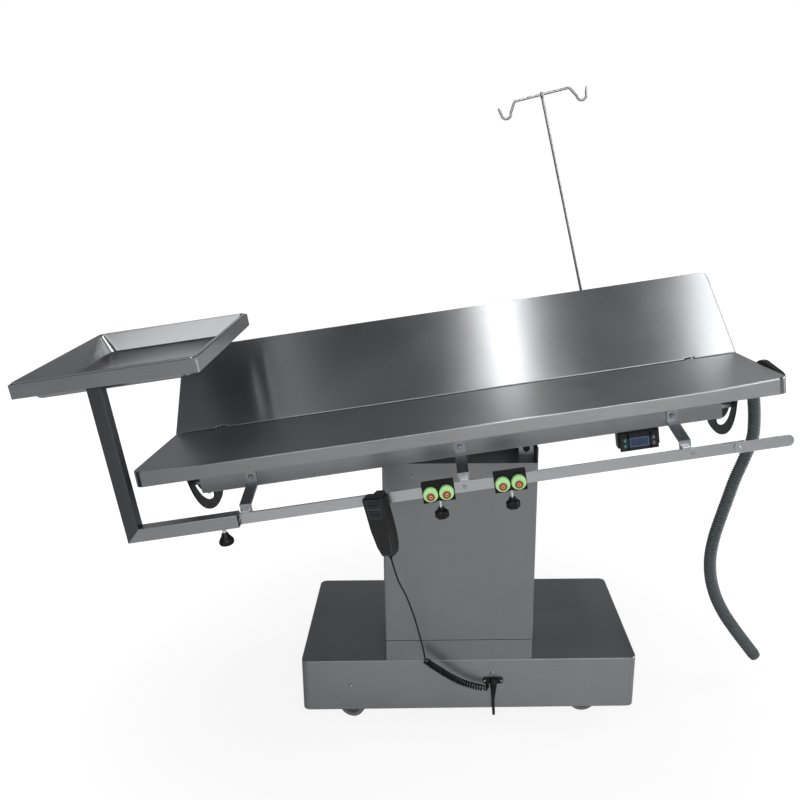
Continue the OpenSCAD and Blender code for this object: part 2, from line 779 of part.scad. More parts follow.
// Drain trough under the gap of the V, with its bent outlet at the right end
module drain_trough() {
    pipe_z = trough_bottom + spigot_d / 2 + 2;
    bend_z = pipe_z - spigot_bend;
    color(steel) on_top() translate([0, hinge_y, 0]) {
        difference() {
            translate([-trough_x, -trough_w / 2, trough_bottom])
                cube([2 * trough_x, trough_w, trough_top - trough_bottom]);
            translate([-trough_x + sheet_t, -trough_w / 2 + sheet_t, trough_bottom + sheet_t])
                cube([2 * (trough_x - sheet_t), trough_w - 2 * sheet_t, trough_top - trough_bottom]);
            bar_x(0, pipe_z, trough_x - 5, trough_x + 5, spigot_d - 4);
        }
        difference() {
            union() {
                bar_x(0, pipe_z, trough_x - 1, hose_x - spigot_bend, spigot_d);
                translate([hose_x - spigot_bend, 0, bend_z]) rotate([90, 0, 0])
                    rotate_extrude(angle = 90) translate([spigot_bend, 0]) circle(d = spigot_d);
                translate([hose_x, 0, -spigot_end]) cylinder(h = bend_z + spigot_end, d = spigot_d);
                translate([hose_x, 0, -spigot_end - barb_l]) cylinder(h = barb_l + 1, d = barb_d);
            }
            bar_x(0, pipe_z, trough_x - 2, hose_x - spigot_bend, spigot_d - 4);
            translate([hose_x - spigot_bend, 0, bend_z]) rotate([90, 0, 0])
                rotate_extrude(angle = 90) translate([spigot_bend, 0]) circle(d = spigot_d - 4);
            translate([hose_x, 0, -spigot_end - barb_l - 1])
                cylinder(h = bend_z + spigot_end + barb_l + 1, d = barb_d - 4);
        }
    }
}

// Thermostat: a bezel and its case under the front beam, with a hood that hangs from the beam
thermo_top = beam_bottom - thermo_drop;
thermo_face = hinge_y - beam_reach - 6;
module thermostat() {
    color(black) on_top() difference() {
        union() {
            translate([thermo_x - thermo_w / 2, thermo_face, thermo_top - thermo_h])
                cube([thermo_w, 8, thermo_h]);
            translate([thermo_x - thermo_w / 2 + 5, thermo_face + 6, thermo_top - thermo_h + 4])
                cube([thermo_w - 10, 58, thermo_h - 8]);
            translate([thermo_x - thermo_w / 2 - 4, thermo_face + 8, thermo_top - thermo_h + 6])
                cube([thermo_w + 8, beam_t - 4, thermo_h + thermo_drop - 6]);
        }
        translate([thermo_x - 21, thermo_face - 1, thermo_top - thermo_h + 8])
            cube([43, 2, thermo_h - 20]);
        for (s = [-1, 1])
            translate([thermo_x + s * key_at - key_w / 2 - seat, thermo_face - 1,
                key_z[1] - key_h / 2 - seat])
                cube([key_w + 2 * seat, 5, key_z[0] - key_z[1] + key_h + 2 * seat]);
    }
    color([0.1, 0.14, 0.3]) on_top()
        translate([thermo_x - 21 + seat, thermo_face + 0.4, thermo_top - thermo_h + 8 + seat])
            cube([43 - 2 * seat, 0.6, thermo_h - 20 - 2 * seat]);
}

key_at = thermo_w / 2 - 11;
key_z = [thermo_top - thermo_h / 2 + 5, thermo_top - thermo_h / 2 - 8];

// A pair of thermostat keys, moulded on one strip
module thermostat_keys(s, colour) {
    color(colour) on_top() {
        for (k = [0, 1])
            translate([thermo_x + s * key_at - key_w / 2, thermo_face - 1.5, key_z[k] - key_h / 2])
                cube([key_w, 4, key_h]);
        translate([thermo_x + s * key_at - key_w / 2, thermo_face + 1, key_z[1]])
            cube([key_w, 1.5, key_z[0] - key_z[1]]);
    }
}

// Volume under the top surface of a panel, whose outer corners may rise along a crease
module under_skin(near, far, rise, top, depth) {
    h = table_l / 2;
    translate([0, 0, top - depth]) linear_extrude(depth)
        polygon([[-h, near], [h, near], [h - facet_l, far], [-h + facet_l, far]]);
    for (s = [-1, 1]) polyhedron(
        [[s * h, near, top], [s * (h - facet_l), far, top], [s * h, far, top + rise],
            [s * h, near, top - depth], [s * (h - facet_l), far, top - depth],
            [s * h, far, top - depth]],
        s == 1 ? [[0, 1, 2], [3, 5, 4], [0, 3, 4], [0, 4, 1], [1, 4, 5], [1, 5, 2], [2, 5, 3], [2, 3, 0]]
               : [[0, 2, 1], [3, 4, 5], [0, 4, 3], [0, 1, 4], [1, 5, 4], [1, 2, 5], [2, 3, 5], [2, 0, 3]]);
}

// Plan of a panel, rounded at its two outer corners
module panel_plan(near, far, inset) {
    r = max(panel_r - inset, 1);
    h = table_l / 2 - inset;
    y0 = near + inset;
    y1 = far - inset;
    translate([-h, y0]) square([2 * h, y1 - y0 - r]);
    translate([-h + r, y0]) square([2 * (h - r), y1 - y0]);
    for (s = [-1, 1]) translate([s * (h - r), y1 - r]) circle(r);
}

// A panel's hinge lug: an eye round the hinge and a leg welded under the skin
module hinge_lug() {
    bar_x(0, 0, 0, lug_t, 2 * hinge_eye_r);
    translate([0, 0, -hinge_eye_r + 1])
        cube([lug_t, lug_l, hinge_eye_r - 1 + skin_up - sheet_t - seat]);
}

// A panel, folded of one sheet: its skin, a flange all round and two hinge lugs; its inner edge
// is notched where it would meet the hinges
module panel(near, width, rise, lug_at) {
    difference() {
        intersection() {
            translate([0, 0, skin_up - flange_h]) linear_extrude(flange_h + rise + 1)
                panel_plan(near, width, 0);
            under_skin(near, width, rise, skin_up, flange_h);
        }
        intersection() {
            translate([0, 0, skin_up - flange_h - 1]) linear_extrude(flange_h + rise + 2)
                panel_plan(near, width, sheet_t);
            under_skin(near, width, rise, skin_up - sheet_t, flange_h + 1);
        }
        translate([-table_l / 2 - 1, 0, skin_up - flange_h - 1])
            cube([table_l + 2, near + sheet_t + 0.5, flange_h + 1 - inner_drop]);
        for (s = [-1, 1]) {
            translate([s * lug_at - lug_t / 2 - seat, 0, -flange_h])
                cube([lug_t + 2 * seat, lug_l, flange_h + skin_up - sheet_t]);
            translate([s * arch_x - notch_w / 2, -1, -flange_h])
                cube([notch_w, hinge_eye_r + notch_play + 1, flange_h + skin_up + 1]);
        }
    }
    for (s = [-1, 1]) translate([s * lug_at, 0, 0]) difference() {
        translate([-lug_t / 2, 0, 0]) hinge_lug();
        bar_x(0, 0, -lug_t, lug_t, hinge_pin_d + 2 * fit);
    }
}

// Places a panel's own frame at the hinge, to the front or to the rear
module front_place() {
    on_top() translate([0, hinge_y, hinge_z]) rotate([-front_rise, 0, 0]) mirror([0, 1, 0])
        children();
}
module rear_place() {
    on_top() translate([0, hinge_y, hinge_z]) rotate([rear_rise, 0, 0]) children();
}

// Front panel, with raised outer corners
module front_panel() {
    color(steel) front_place() panel(hinge_gap, front_w, corner_rise, arch_x - lug_t - gap);
}

// Rear panel
module rear_panel() {
    color(steel) rear_place() panel(rear_gap, rear_w, 0.5, arch_x + lug_t + gap);
}

// A sector plate in a panel's frame: a slotted quadrant round the hinge, with a root on the skin
module sector(width) {
    inner_r = sector_r - sector_band;
    rotate([90, 0, 90]) linear_extrude(sector_t, center = true) difference() {
        union() {
            intersection() {
                difference() {
                    circle(sector_r, $fn = 96);
                    circle(inner_r, $fn = 96);
                }
                polygon([[0, 0], [300 * cos(sector_low), -300 * sin(sector_low)], [300, -300],
                    [0, -300], [-300 * sin(sector_high - 90), -300 * cos(sector_high - 90)]]);
            }
            rotate(-sector_high) translate([sector_r - sector_band / 2, 0])
                circle(d = sector_band - 0.4, $fn = 48);
            translate([inner_r - 2, -sector_r * sin(sector_low) - 22])
                square([sector_band - 2, sector_r * sin(sector_low) + 22 + skin_up - sheet_t]);
        }
        intersection() {
            difference() {
                circle(slot_r + slot_w / 2, $fn = 96);
                circle(slot_r - slot_w / 2, $fn = 96);
            }
            polygon([[0, 0], [300 * cos(stud_angle - 2), -300 * sin(stud_angle - 2)], [300, -300],
                [300 * cos(sector_high - 20), -300 * sin(sector_high - 20)]]);
        }
        for (a = [stud_angle - 2, sector_high - 20])
            rotate(-a) translate([slot_r, 0]) circle(d = slot_w - 0.2, $fn = 32);
    }
}

// Sector plates of the front panel
module front_sectors() {
    color(dark_steel) front_place() for (s = [-1, 1]) translate([s * sector_x, 0, 0]) sector(front_w);
}

// Sector plates of the rear panel, one step further out
module rear_sectors() {
    color(dark_steel) rear_place() for (s = [-1, 1])
        translate([s * (sector_x + sector_step), 0, 0]) sector(rear_w);
}

// Moulded grip on the right end of the front panel
module lift_grip() {
    color(black) front_place() translate([table_l / 2, 0, 0]) rotate([90, 0, 90])
        linear_extrude(12) polygon([[122, skin_up - 14], [124, skin_up - 6], [148, skin_up + 5],
            [172, skin_up + 11], [192, skin_up + 10], [270, skin_up + 3], [300, skin_up],
            [300, skin_up - 12]]);
}

// Tray arm: a square tube that slips over the end of the front rail, and its welded upright
module tray_arm() {
    top = tray_z;
    low = arm_z - arm_t / 2;
    color(steel) on_top() translate([0, rail_y, 0]) difference() {
        union() {
            translate([-arm_x - arm_t / 2, -arm_t / 2, low])
                cube([arm_x + arm_t / 2 - arm_end, arm_t, arm_t]);
            translate([-arm_x - arm_t / 2, -arm_t / 2, low]) cube([arm_t, arm_t, top - low]);
        }
        translate([-arm_x + arm_t / 2 + 1, -arm_t / 2 + arm_wall, low + arm_wall])
            cube([arm_x, arm_t - 2 * arm_wall, arm_t - 2 * arm_wall]);
        translate([knob_x, 0, low - 1]) cylinder(h = arm_wall + 2, d = 8 + 2 * fit);
    }
}

// Clamp screw of the tray arm with its bell-shaped knob
module tray_knob() {
    low = arm_z - arm_t / 2;
    color(black) on_top() translate([knob_x, rail_y, 0]) {
        translate([0, 0, low - 14]) cylinder(h = 14 + arm_wall + arm_play - seat, d = 8);
        translate([0, 0, low - 40]) rotate_extrude()
            polygon([[0, 0], [11, 0], [15, 3], [16.5, 8], [15, 13], [11, 18], [8, 24], [6.5, 28], [0, 28]]);
    }
}

// Frame of the instrument tray: an angle bar, mitred at the corners, with a ledge inside
module tray_frame() {
    color(steel) on_top() translate([-tray_left, tray_front, tray_z]) difference() {
        cube([tray_w, tray_d, tray_h]);
        translate([ledge_t, ledge_t, ledge_t])
            cube([tray_w - 2 * ledge_t, tray_d - 2 * ledge_t, tray_h]);
        translate([ledge, ledge, -1]) cube([tray_w - 2 * ledge, tray_d - 2 * ledge, tray_h]);
    }
}

// Pressed pan that lies in the tray frame: a flat rim, sloping sides and a flat floor
module tray_pan() {
    w = tray_w - 2 * ledge_t - 1;
    d = tray_d - 2 * ledge_t - 1;
    iw = w - 2 * pan_rim - 8;
    id = d - 2 * pan_rim - 8;
    slope = 8;
    floor_z = tray_z + ledge_t + seat + 1.2 - pan_depth;
    color([0.85, 0.86, 0.87]) on_top()
        translate([-tray_left + tray_w / 2, tray_front + tray_d / 2, floor_z]) difference() {
            union() {
                translate([0, 0, pan_depth - 1.2]) round_block(w, d, 1.2, 8);
                hull() {
                    round_block(iw - 2 * slope, id - 2 * slope, 1, 18, $fn = 32);
                    translate([0, 0, pan_depth - 1]) round_block(iw, id, 1, 24, $fn = 32);
                }
            }
            hull() {
                translate([0, 0, 1.2])
                    round_block(iw - 2 * slope - 2.4, id - 2 * slope - 2.4, 1, 17, $fn = 32);
                translate([0, 0, pan_depth]) round_block(iw - 2.4, id - 2.4, 1, 23, $fn = 32);
            }
        }
}

// A lobed clamp knob with its neck downward, around the origin at its upper face
module lobed_knob(d, h) {
    translate([0, 0, -h]) {
        cylinder(h = h, d = d - 7);
        for (a = [0:60:300]) rotate(a) translate([d / 2 - 5, 0, 0]) cylinder(h = h * 0.6, d = 9);
    }
    translate([0, 0, -1]) cylinder(h = 4, d = 12);
}

// Rope cleat: a plate with a channel that hooks over the rail, and two cam pins
module cleat(i) {
    front = rail_y - rail_t / 2 - seat;
    back = rail_y + rail_t / 2 + seat;
    low = cleat_z - cleat_h / 2;
    color(black) on_top() translate([cleat_x[i], 0, 0]) difference() {
        union() {
            translate([-cleat_w / 2, front - cleat_t, low]) cube([cleat_w, cleat_t, cleat_h]);
            translate([-cleat_w / 2, front - 1, -rail_drop + seat])
                cube([cleat_w, rail_t + 2 * seat + 1 + 3, cleat_h / 2 - rail_h / 2 - seat]);
            translate([-cleat_w / 2, back, -rail_drop - 8]) cube([cleat_w, 3, 10]);
            translate([-9, front - 1, low]) cube([18, rail_t + 8, cleat_h / 2 - rail_h / 2 - seat]);
            for (s = [-1, 1])
                bar_y(s * cam_pitch / 2, cam_z, front - cleat_t - cam_t - 3, front - 1, cam_pin_d);
        }
        translate([0, rail_y, low - 1]) cylinder(h = 12, d = 6 + 2 * fit);
    }
}

// Cam roller of a cleat, turning on a pin that lies off its middle
module cam(i, s) {
    front = rail_y - rail_t / 2 - seat - cleat_t;
    color(pale_green) on_top() translate([cleat_x[i] + s * cam_pitch / 2, 0, cam_z]) difference() {
        bar_y(0, 3.5, front - cam_t, front - seat, cam_d);
        bar_y(0, 0, front - cam_t - 1, front, cam_pin_d + 2 * fit);
    }
}

// Clamp screw under a cleat, with its lobed knob
module cleat_knob(i) {
    low = cleat_z - cleat_h / 2;
    top = -rail_drop - rail_h - seat;
    color(black) on_top() translate([cleat_x[i], rail_y, 0]) {
        translate([0, 0, cleat_z - knob_drop[i]]) cylinder(h = top - cleat_z + knob_drop[i], d = 6);
        translate([0, 0, cleat_z - knob_drop[i] + 6]) lobed_knob(31, 24);
    }
}

// Places the handset's own frame: its front face, X across, Z along it, zero at its top
module handset_place() {
    on_top() translate([handset_x, rail_y - rail_t / 2 - seat - handset_w / 2 * sin(handset_turn),
        handset_up - rail_drop]) rotate([0, -handset_lean, 0]) rotate([0, 0, -handset_turn])
            translate([0, -handset_t, 0]) children();
}

// Outline of the handset, narrower towards the cord
module handset_outline() {
    w = handset_w / 2;
    l = handset_l;
    polygon([[-w + 3, 0], [w - 3, 0], [w, -4], [w, -l * 0.62], [w - 3, -l * 0.85], [w - 9, -l],
        [-w + 13, -l], [-w + 6, -l * 0.85], [-w + 1, -l * 0.55], [-w, -4]]);
}

// Handset case with chamfered front edges and a hook that hangs it on the rail
module handset() {
    color(black) handset_place() difference() {
        union() {
            hull() {
                translate([0, handset_t, 0]) rotate([90, 0, 0]) linear_extrude(handset_t - face_in)
                    handset_outline();
                translate([0, face_in, 0]) rotate([90, 0, 0]) linear_extrude(face_in)
                    offset(delta = -face_in) handset_outline();
            }
            translate([-hook_w / 2, handset_t - 3, hook_z])
                cube([hook_w, hook_in + 3 + hook_t, hook_t]);
            translate([-hook_w / 2, handset_t + hook_in, hook_z - hook_drop])
                cube([hook_w, hook_t, hook_drop + hook_t]);
            translate([1, handset_t / 2, -handset_l - sleeve_l])
                cylinder(h = sleeve_l + 3, d1 = lead_d + 2, d2 = lead_d + 6);
        }
        for (z = button_z) translate([-button_w / 2 - seat, -1, z - button_h / 2 - seat])
            cube([button_w + 2 * seat, 4, button_h + 2 * seat]);
    }
}

// A wide handset key, 1.2 mm proud of the face
module handset_button(i) {
    color(dark_steel) handset_place() translate([-button_w / 2, -1.2, button_z[i] - button_h / 2])
        cube([button_w, button_t, button_h]);
}

// Places the pole's own frame: its axis, Z along it, zero at the middle of the clamp
clamp_y = 2 * hinge_y - rail_y + rail_t / 2 + 16;
module pole_place() {
    on_top() translate([pole_x, clamp_y, -rail_drop - rail_h / 2]) rotate([0, -pole_lean, 0])
        children();
}

// Pole clamp: a block on the rear rail, bored for the pole
module pole_clamp() {
    rear_rail = 2 * hinge_y - rail_y;
    color(dark_steel) {
        on_top() translate([pole_x, 0, -rail_drop - rail_h / 2]) difference() {
            translate([-16, rear_rail - rail_t / 2 - 5, -clamp_h / 2])
                cube([32, clamp_y - rear_rail + rail_t / 2 + 5 + 12, clamp_h]);
            translate([-17, rear_rail - rail_t / 2 - seat, -rail_h / 2 - seat])
                cube([34, rail_t + 2 * seat, rail_h + 2 * seat]);
            translate([-17, rear_rail - rail_t / 2 - 6, -clamp_h / 2 - 1])
                cube([34, 6 - seat + 0.6, clamp_h / 2 + 4]);
            translate([0, clamp_y, 0]) rotate([0, -pole_lean, 0])
                translate([0, 0, -clamp_h]) cylinder(h = 2 * clamp_h, d = pole_d + 2 * fit);
            translate([0, clamp_y, 0]) rotate([0, -pole_lean, 0])
                rotate([-90, 0, 0]) cylinder(h = 20, d = 6 + 2 * fit);
        }
    }
}

// Clamp screw of the pole, with its knob at the back
module pole_knob() {
    color(black) pole_place() rotate([-90, 0, 0]) {
        translate([0, 0, pole_d / 2 + seat]) cylinder(h = 24, d = 6);
        translate([0, 0, 12 + 20]) rotate([180, 0, 0]) mirror([0, 0, 0]) {
            cylinder(h = 14, d = 18);
            for (a = [0:60:300]) rotate(a) translate([9, 0, 0]) cylinder(h = 12, d = 8);
        }
    }
}

// Infusion pole: a thin rod with a welded crossbar that ends in two open hooks
module wire_bend(r, a) {
    rotate_extrude(angle = a) translate([r, 0]) circle(d = hook_wire, $fn = 24);
}
module infusion_pole() {
    below = 60;
    bar_l = 58;
    shoulder = 8;
    cup = 13;
    drop = 26;
    tip_turn = 160;
    color(steel) pole_place() {
        translate([0, 0, -below]) cylinder(h = pole_l, d = pole_d);
        translate([0, 0, pole_l - below - hook_wire]) {
            bar_x(0, 0, -bar_l, bar_l, hook_wire);
            for (m = [0, 1]) mirror([m, 0, 0]) translate([bar_l, 0, -shoulder]) {
                rotate([90, 0, 0]) wire_bend(shoulder, 90);
                translate([shoulder, 0, shoulder - drop])
                    cylinder(h = drop - shoulder, d = hook_wire);
                translate([shoulder + cup, 0, shoulder - drop]) {
                    rotate([90, 180, 0]) wire_bend(cup, tip_turn);
                    rotate([0, -tip_turn, 0]) translate([-cup, 0, -18])
                        cylinder(h = 18, d = hook_wire);
                }
            }
        }
    }
}

// Straight lead from the handset down to the curly cord
module handset_lead() {
    color(black) tube(spline(lead_route, 5), lead_d, 8);
}

// Curly cord: a helix round a sagging middle line, its last end straight into the socket
curl_line = spline(curly_route, 36);
curl_normals = normals(curl_line);
function curl_point(f) =
    let (i = min(round(f * (len(curl_line) - 1)), len(curl_line) - 1), t = tangent(curl_line, i),
        n = curl_normals[i], b = cross(t, n), a = f * curls * 360)
    curl_line[i] + (curl_d - lead_d) / 2 * (cos(a) * n + sin(a) * b);
curl_points = [for (i = [0:curls * 8]) curl_point(i / (curls * 8))];
curly_path = concat(curl_points, [[jack_x - 3, base_front - 12 - lead_d, jack_z - 1],
    [jack_x, base_front - 8 - lead_d, jack_z], [jack_x, base_front - 8, jack_z]]);
module curly_cord() {
    echo(curly_cord_least_gap = least_gap(curl_points, 6, lead_d));
    color(black) tube(curly_path, lead_d, 6);
}

// Mains lead: the run from the gland under the base to the coil, and the tail to the plug
module mains_cord() {
    color(black) {
        tube(spline(mains_route, 3), mains_d, 8);
        tube(spline(tail_route, 3), mains_d, 8);
    }
}

// Coil of the mains lead: it spirals in and out again in two layers
coil_turn = coil_loops / 2 + 0.25;
function coil_point(t) =
    let (r = coil_r - coil_pitch * (t <= coil_turn ? t : 2 * coil_turn - t),
        up = min(max((t - coil_turn + 0.25) / 0.5, 0), 1))
    coil_at + [r * cos(360 * t), r * sin(360 * t), coil_pitch * up];
coil_points = [for (i = [0:coil_loops * 24]) coil_point(i / 24)];
module mains_coil() {
    echo(mains_coil_least_gap = least_gap(coil_points, 12, mains_d),
        mains_coil_length = path_length(coil_points));
    color(black) tube(coil_points, mains_d, 6);
}

// Moulded mains plug with two round pins
module mains_plug() {
    tip = tail_route[len(tail_route) - 1];
    turn = unit(tip - tail_route[len(tail_route) - 2]);
    color(black) translate(tip) rotate([0, 0, atan2(turn[1], turn[0])]) {
        rotate([0, 90, 0]) cylinder(h = 16, d1 = 8, d2 = 8);
        translate([14, -12, -4]) cube([34, 24, 16]);
        for (s = [-1, 1]) translate([47, s * 9.5, 4]) rotate([0, 90, 0]) cylinder(h = 20, d = 4.8);
    }
}

// Drain hose: a ribbed tube with a smooth bore, hanging from the spigot
hose_line = spline(hose_route, 17);
hose_ribs = 110;
function along(p, f) = p[min(round(f * (len(p) - 1)), len(p) - 1)];
module drain_hose() {
    n = 2 * hose_ribs;
    line = [for (i = [0:n]) along(hose_line, i / n)];
    inner = [for (i = [0:40]) along(hose_line, i / 40)];
    sides = 8;
    outer_r = [for (i = [0:n]) (i < 2 || i > n - 2 || i % 2 == 0) ? hose_d / 2 - 1.6 : hose_d / 2];
    outer = rings(line, outer_r, sides);
    bore = rings(inner, [for (q = inner) hose_bore / 2], sides);
    start = len(outer);
    last = n * sides;
    last_in = start + 40 * sides;
    ends = [for (k = [0:sides - 1]) let (m = (k + 1) % sides) each [
        [k, m, start + k], [m, start + m, start + k],
        [last + k, last_in + k, last + m], [last + m, last_in + k, last_in + m]]];
    color(grey) polyhedron(concat(outer, bore), concat(
        [for (f = skin_faces(n + 1, sides, 0, true)) [f[0], f[2], f[1]]],
        [for (f = skin_faces(41, sides, start, false)) [f[0], f[2], f[1]]],
        [for (f = ends) [f[0], f[2], f[1]]]));
}

base_cover();
chassis();
fixed_shroud();
lift_column_outer();
lift_motor();
base_inlets();
castor_place(0) castor_fork();  // castor_fork_fl
castor_place(1) castor_fork();  // castor_fork_fr
castor_place(2) castor_fork();  // castor_fork_rl
castor_place(3) castor_fork();  // castor_fork_rr
castor_place(0) castor_wheel();  // castor_wheel_fl
castor_place(1) castor_wheel();  // castor_wheel_fr
castor_place(2) castor_wheel();  // castor_wheel_rl
castor_place(3) castor_wheel();  // castor_wheel_rr
column_shroud();
lift_head();
lift_column_inner();
tilt_actuator();
tilt_pin();
side_beams();
cross_members();
rail_hangers();
side_rails();
panel_brackets();
drain_trough();
thermostat();
tilt_rod();
thermostat_keys(-1, [0.35, 0.6, 0.6]);  // thermostat_keys_left
thermostat_keys(1, [0.75, 0.75, 0.75]);  // thermostat_keys_right
front_panel();
front_sectors();
lift_grip();
rear_panel();
rear_sectors();
tray_arm();
tray_frame();
tray_pan();
tray_knob();
cleat(0);  // cleat_left
cam(0, -1);  // cleat_left_cam_1
cam(0, 1);  // cleat_left_cam_2
cleat_knob(0);  // cleat_left_knob
cleat(1);  // cleat_right
cam(1, -1);  // cleat_right_cam_1
cam(1, 1);  // cleat_right_cam_2
cleat_knob(1);  // cleat_right_knob
handset();
handset_button(0);  // handset_button_1
handset_button(1);  // handset_button_2
handset_button(2);  // handset_button_3
handset_button(3);  // handset_button_4
pole_clamp();
infusion_pole();
pole_knob();
drain_hose();
handset_lead();
curly_cord();
mains_cord();
mains_coil();
mains_plug();
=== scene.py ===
import math

import bmesh
import bpy
from mathutils import Matrix, Vector


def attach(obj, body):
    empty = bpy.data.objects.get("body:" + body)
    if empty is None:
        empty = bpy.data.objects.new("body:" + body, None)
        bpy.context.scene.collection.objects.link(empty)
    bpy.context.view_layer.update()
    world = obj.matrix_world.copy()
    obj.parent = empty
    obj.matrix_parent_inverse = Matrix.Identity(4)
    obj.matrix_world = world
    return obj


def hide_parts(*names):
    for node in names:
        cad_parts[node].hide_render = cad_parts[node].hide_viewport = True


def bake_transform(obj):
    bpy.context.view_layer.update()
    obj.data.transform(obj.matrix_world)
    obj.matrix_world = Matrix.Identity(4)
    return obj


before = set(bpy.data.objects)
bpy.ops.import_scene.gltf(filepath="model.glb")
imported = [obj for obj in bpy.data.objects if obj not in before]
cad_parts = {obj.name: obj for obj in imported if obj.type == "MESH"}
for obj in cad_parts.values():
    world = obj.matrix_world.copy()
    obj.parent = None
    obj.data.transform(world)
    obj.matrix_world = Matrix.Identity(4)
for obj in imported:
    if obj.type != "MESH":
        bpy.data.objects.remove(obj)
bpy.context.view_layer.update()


# ---- Camera ----
# The camera stands a little left of the table's middle, at eye height for a seated photographer,
# and looks down at the top. Its lens is shifted because the picture was trimmed on one side.
def shift(x, y, z):
    return Matrix.Translation((x, y, z))


def spin(degrees, axis):
    return Matrix.Rotation(math.radians(degrees), 4, axis)


camera_data = bpy.data.cameras.new("camera")
camera_data.sensor_width = 36
camera_data.lens = 38.25
camera_data.shift_x = -0.0655
camera = bpy.data.objects.new("camera", camera_data)
camera.matrix_world = (
    shift(-0.09685, -2.05107, 1.3895)
    @ spin(-1.580, "Z")
    @ spin(90 - 15.989, "X")
    @ spin(0.278, "Z")
)
bpy.context.scene.collection.objects.link(camera)
bpy.context.scene.camera = camera
bpy.context.scene.view_settings.view_transform = "Standard"


# ---- Floor and light ----
# A pale studio floor and a plain grey room. The floor and the room are white where the camera
# looks straight at them, and the floor keeps the table's shadow. Narrow strips overhead make the
# bright bands on the rear panel, and softboxes light the sides, the front and the tray.
def linear(code):
    channels = [int(code[i:i + 2], 16) / 255 for i in (1, 3, 5)]
    return [c / 12.92 if c <= 0.04045 else ((c + 0.055) / 1.055) ** 2.4 for c in channels] + [1]


def add(tree, kind, settings=None, **inputs):
    """Adds one node. A node given as an input stands for its first output in use."""
    made = tree.nodes.new("ShaderNode" + kind)
    for key, value in (settings or {}).items():
        setattr(made, key, value)
    for key, value in inputs.items():
        socket = made.inputs[int(key[1:]) if key[0] == "_" else key.replace("_", " ")]
        if isinstance(value, bpy.types.Node):
            value = next(out for out in value.outputs if out.enabled)
        if isinstance(value, bpy.types.NodeSocket):
            tree.links.new(value, socket)
        else:
            socket.default_value = value
    return made


def material(name):
    made = bpy.data.materials.new(name)
    made.use_nodes = True
    made.node_tree.nodes.clear()
    return made, made.node_tree


floor_bm = bmesh.new()
bmesh.ops.create_grid(floor_bm, x_segments=1, y_segments=1, size=30)
floor_mesh = bpy.data.meshes.new("studio_floor")
floor_bm.to_mesh(floor_mesh)
studio_floor = bpy.data.objects.new("studio_floor", floor_mesh)
bpy.context.scene.collection.objects.link(studio_floor)
floor_paint, tree = material("pale_studio_floor")
matt = add(tree, "BsdfDiffuse", Color=linear("#e4e4e4"))
reach = add(tree, "VectorMath", {"operation": "LENGTH"}, _0=add(tree, "TexCoord").outputs["Object"])
fade = add(tree, "MapRange", {"interpolation_type": "SMOOTHSTEP"}, Value=reach,
           From_Min=0.5, From_Max=1.7, To_Min=1.04, To_Max=1.25)
glow = add(tree, "Emission", Color=(1, 1, 1, 1), Strength=fade)
ray = add(tree, "LightPath")
share = add(tree, "Math", {"operation": "MULTIPLY"}, _0=ray.outputs["Is Camera Ray"], _1=0.85)
add(tree, "OutputMaterial", Surface=add(tree, "MixShader", _0=share, _1=matt, _2=glow))
floor_mesh.materials.append(floor_paint)

world = bpy.data.worlds.new("studio_room")
bpy.context.scene.world = world
world.use_nodes = True
tree = world.node_tree
tree.nodes.clear()
way = add(tree, "SeparateXYZ", Vector=add(tree, "TexCoord").outputs["Generated"])
height = add(tree, "Math", {"operation": "MULTIPLY_ADD"}, _0=way.outputs["Z"], _1=0.5, _2=0.5)
room_tone = add(tree, "ValToRGB", Fac=height)
ramp = room_tone.color_ramp
ramp.elements[0].position, ramp.elements[0].color = 0.30, (0.50, 0.50, 0.50, 1)
ramp.elements[1].position, ramp.elements[1].color = 1.0, (0.06, 0.06, 0.063, 1)
for place, tone in ((0.5, 0.50), (0.59, 0.48), (0.64, 0.22), (0.74, 0.15), (0.88, 0.09)):
    ramp.elements.new(place).color = (tone, tone, tone * 1.02, 1)
room = add(tree, "Background", Color=room_tone, Strength=1.0)
white = add(tree, "Background", Color=(1, 1, 1, 1), Strength=1.0)
ray = add(tree, "LightPath")
seen = add(tree, "MixShader", _0=ray.outputs["Is Camera Ray"], _1=room, _2=white)
add(tree, "OutputWorld", Surface=seen)


def softbox(name, place, aim, width, height, watts):
    lamp = bpy.data.lights.new(name, "AREA")
    lamp.shape = "RECTANGLE"
    lamp.size, lamp.size_y, lamp.energy = width, height, watts
    holder = bpy.data.objects.new(name, lamp)
    holder.rotation_mode = "QUATERNION"
    holder.location = place
    holder.rotation_quaternion = (Vector(aim) - Vector(place)).to_track_quat("-Z", "Y")
    bpy.context.scene.collection.objects.link(holder)


for tail, x, width, watts in (("", -0.13, 0.10, 12), ("_right", 1.02, 0.16, 11),
                              ("_left", -1.40, 0.20, 0.6)):
    softbox("ceiling_strip" + tail, (x, 0.25, 3.4), (x, 0.25, 0.8), width, 2.8, watts)
softbox("right_softbox", (3.2, 0.4, 2.1), (0.2, 0.0, 0.8), 1.6, 1.8, 55)
softbox("front_softbox", (0.9, -3.4, 2.5), (0.1, 0.0, 0.6), 2.4, 1.6, 54)
softbox("left_softbox", (-0.9, -3.2, 2.2), (-0.8, -2.1, 0.0), 1.2, 1.0, 15)
softbox("tray_softbox", (-1.7, -1.4, 2.9), (-0.82, 0.0, 0.95), 1.2, 1.0, 4.5)


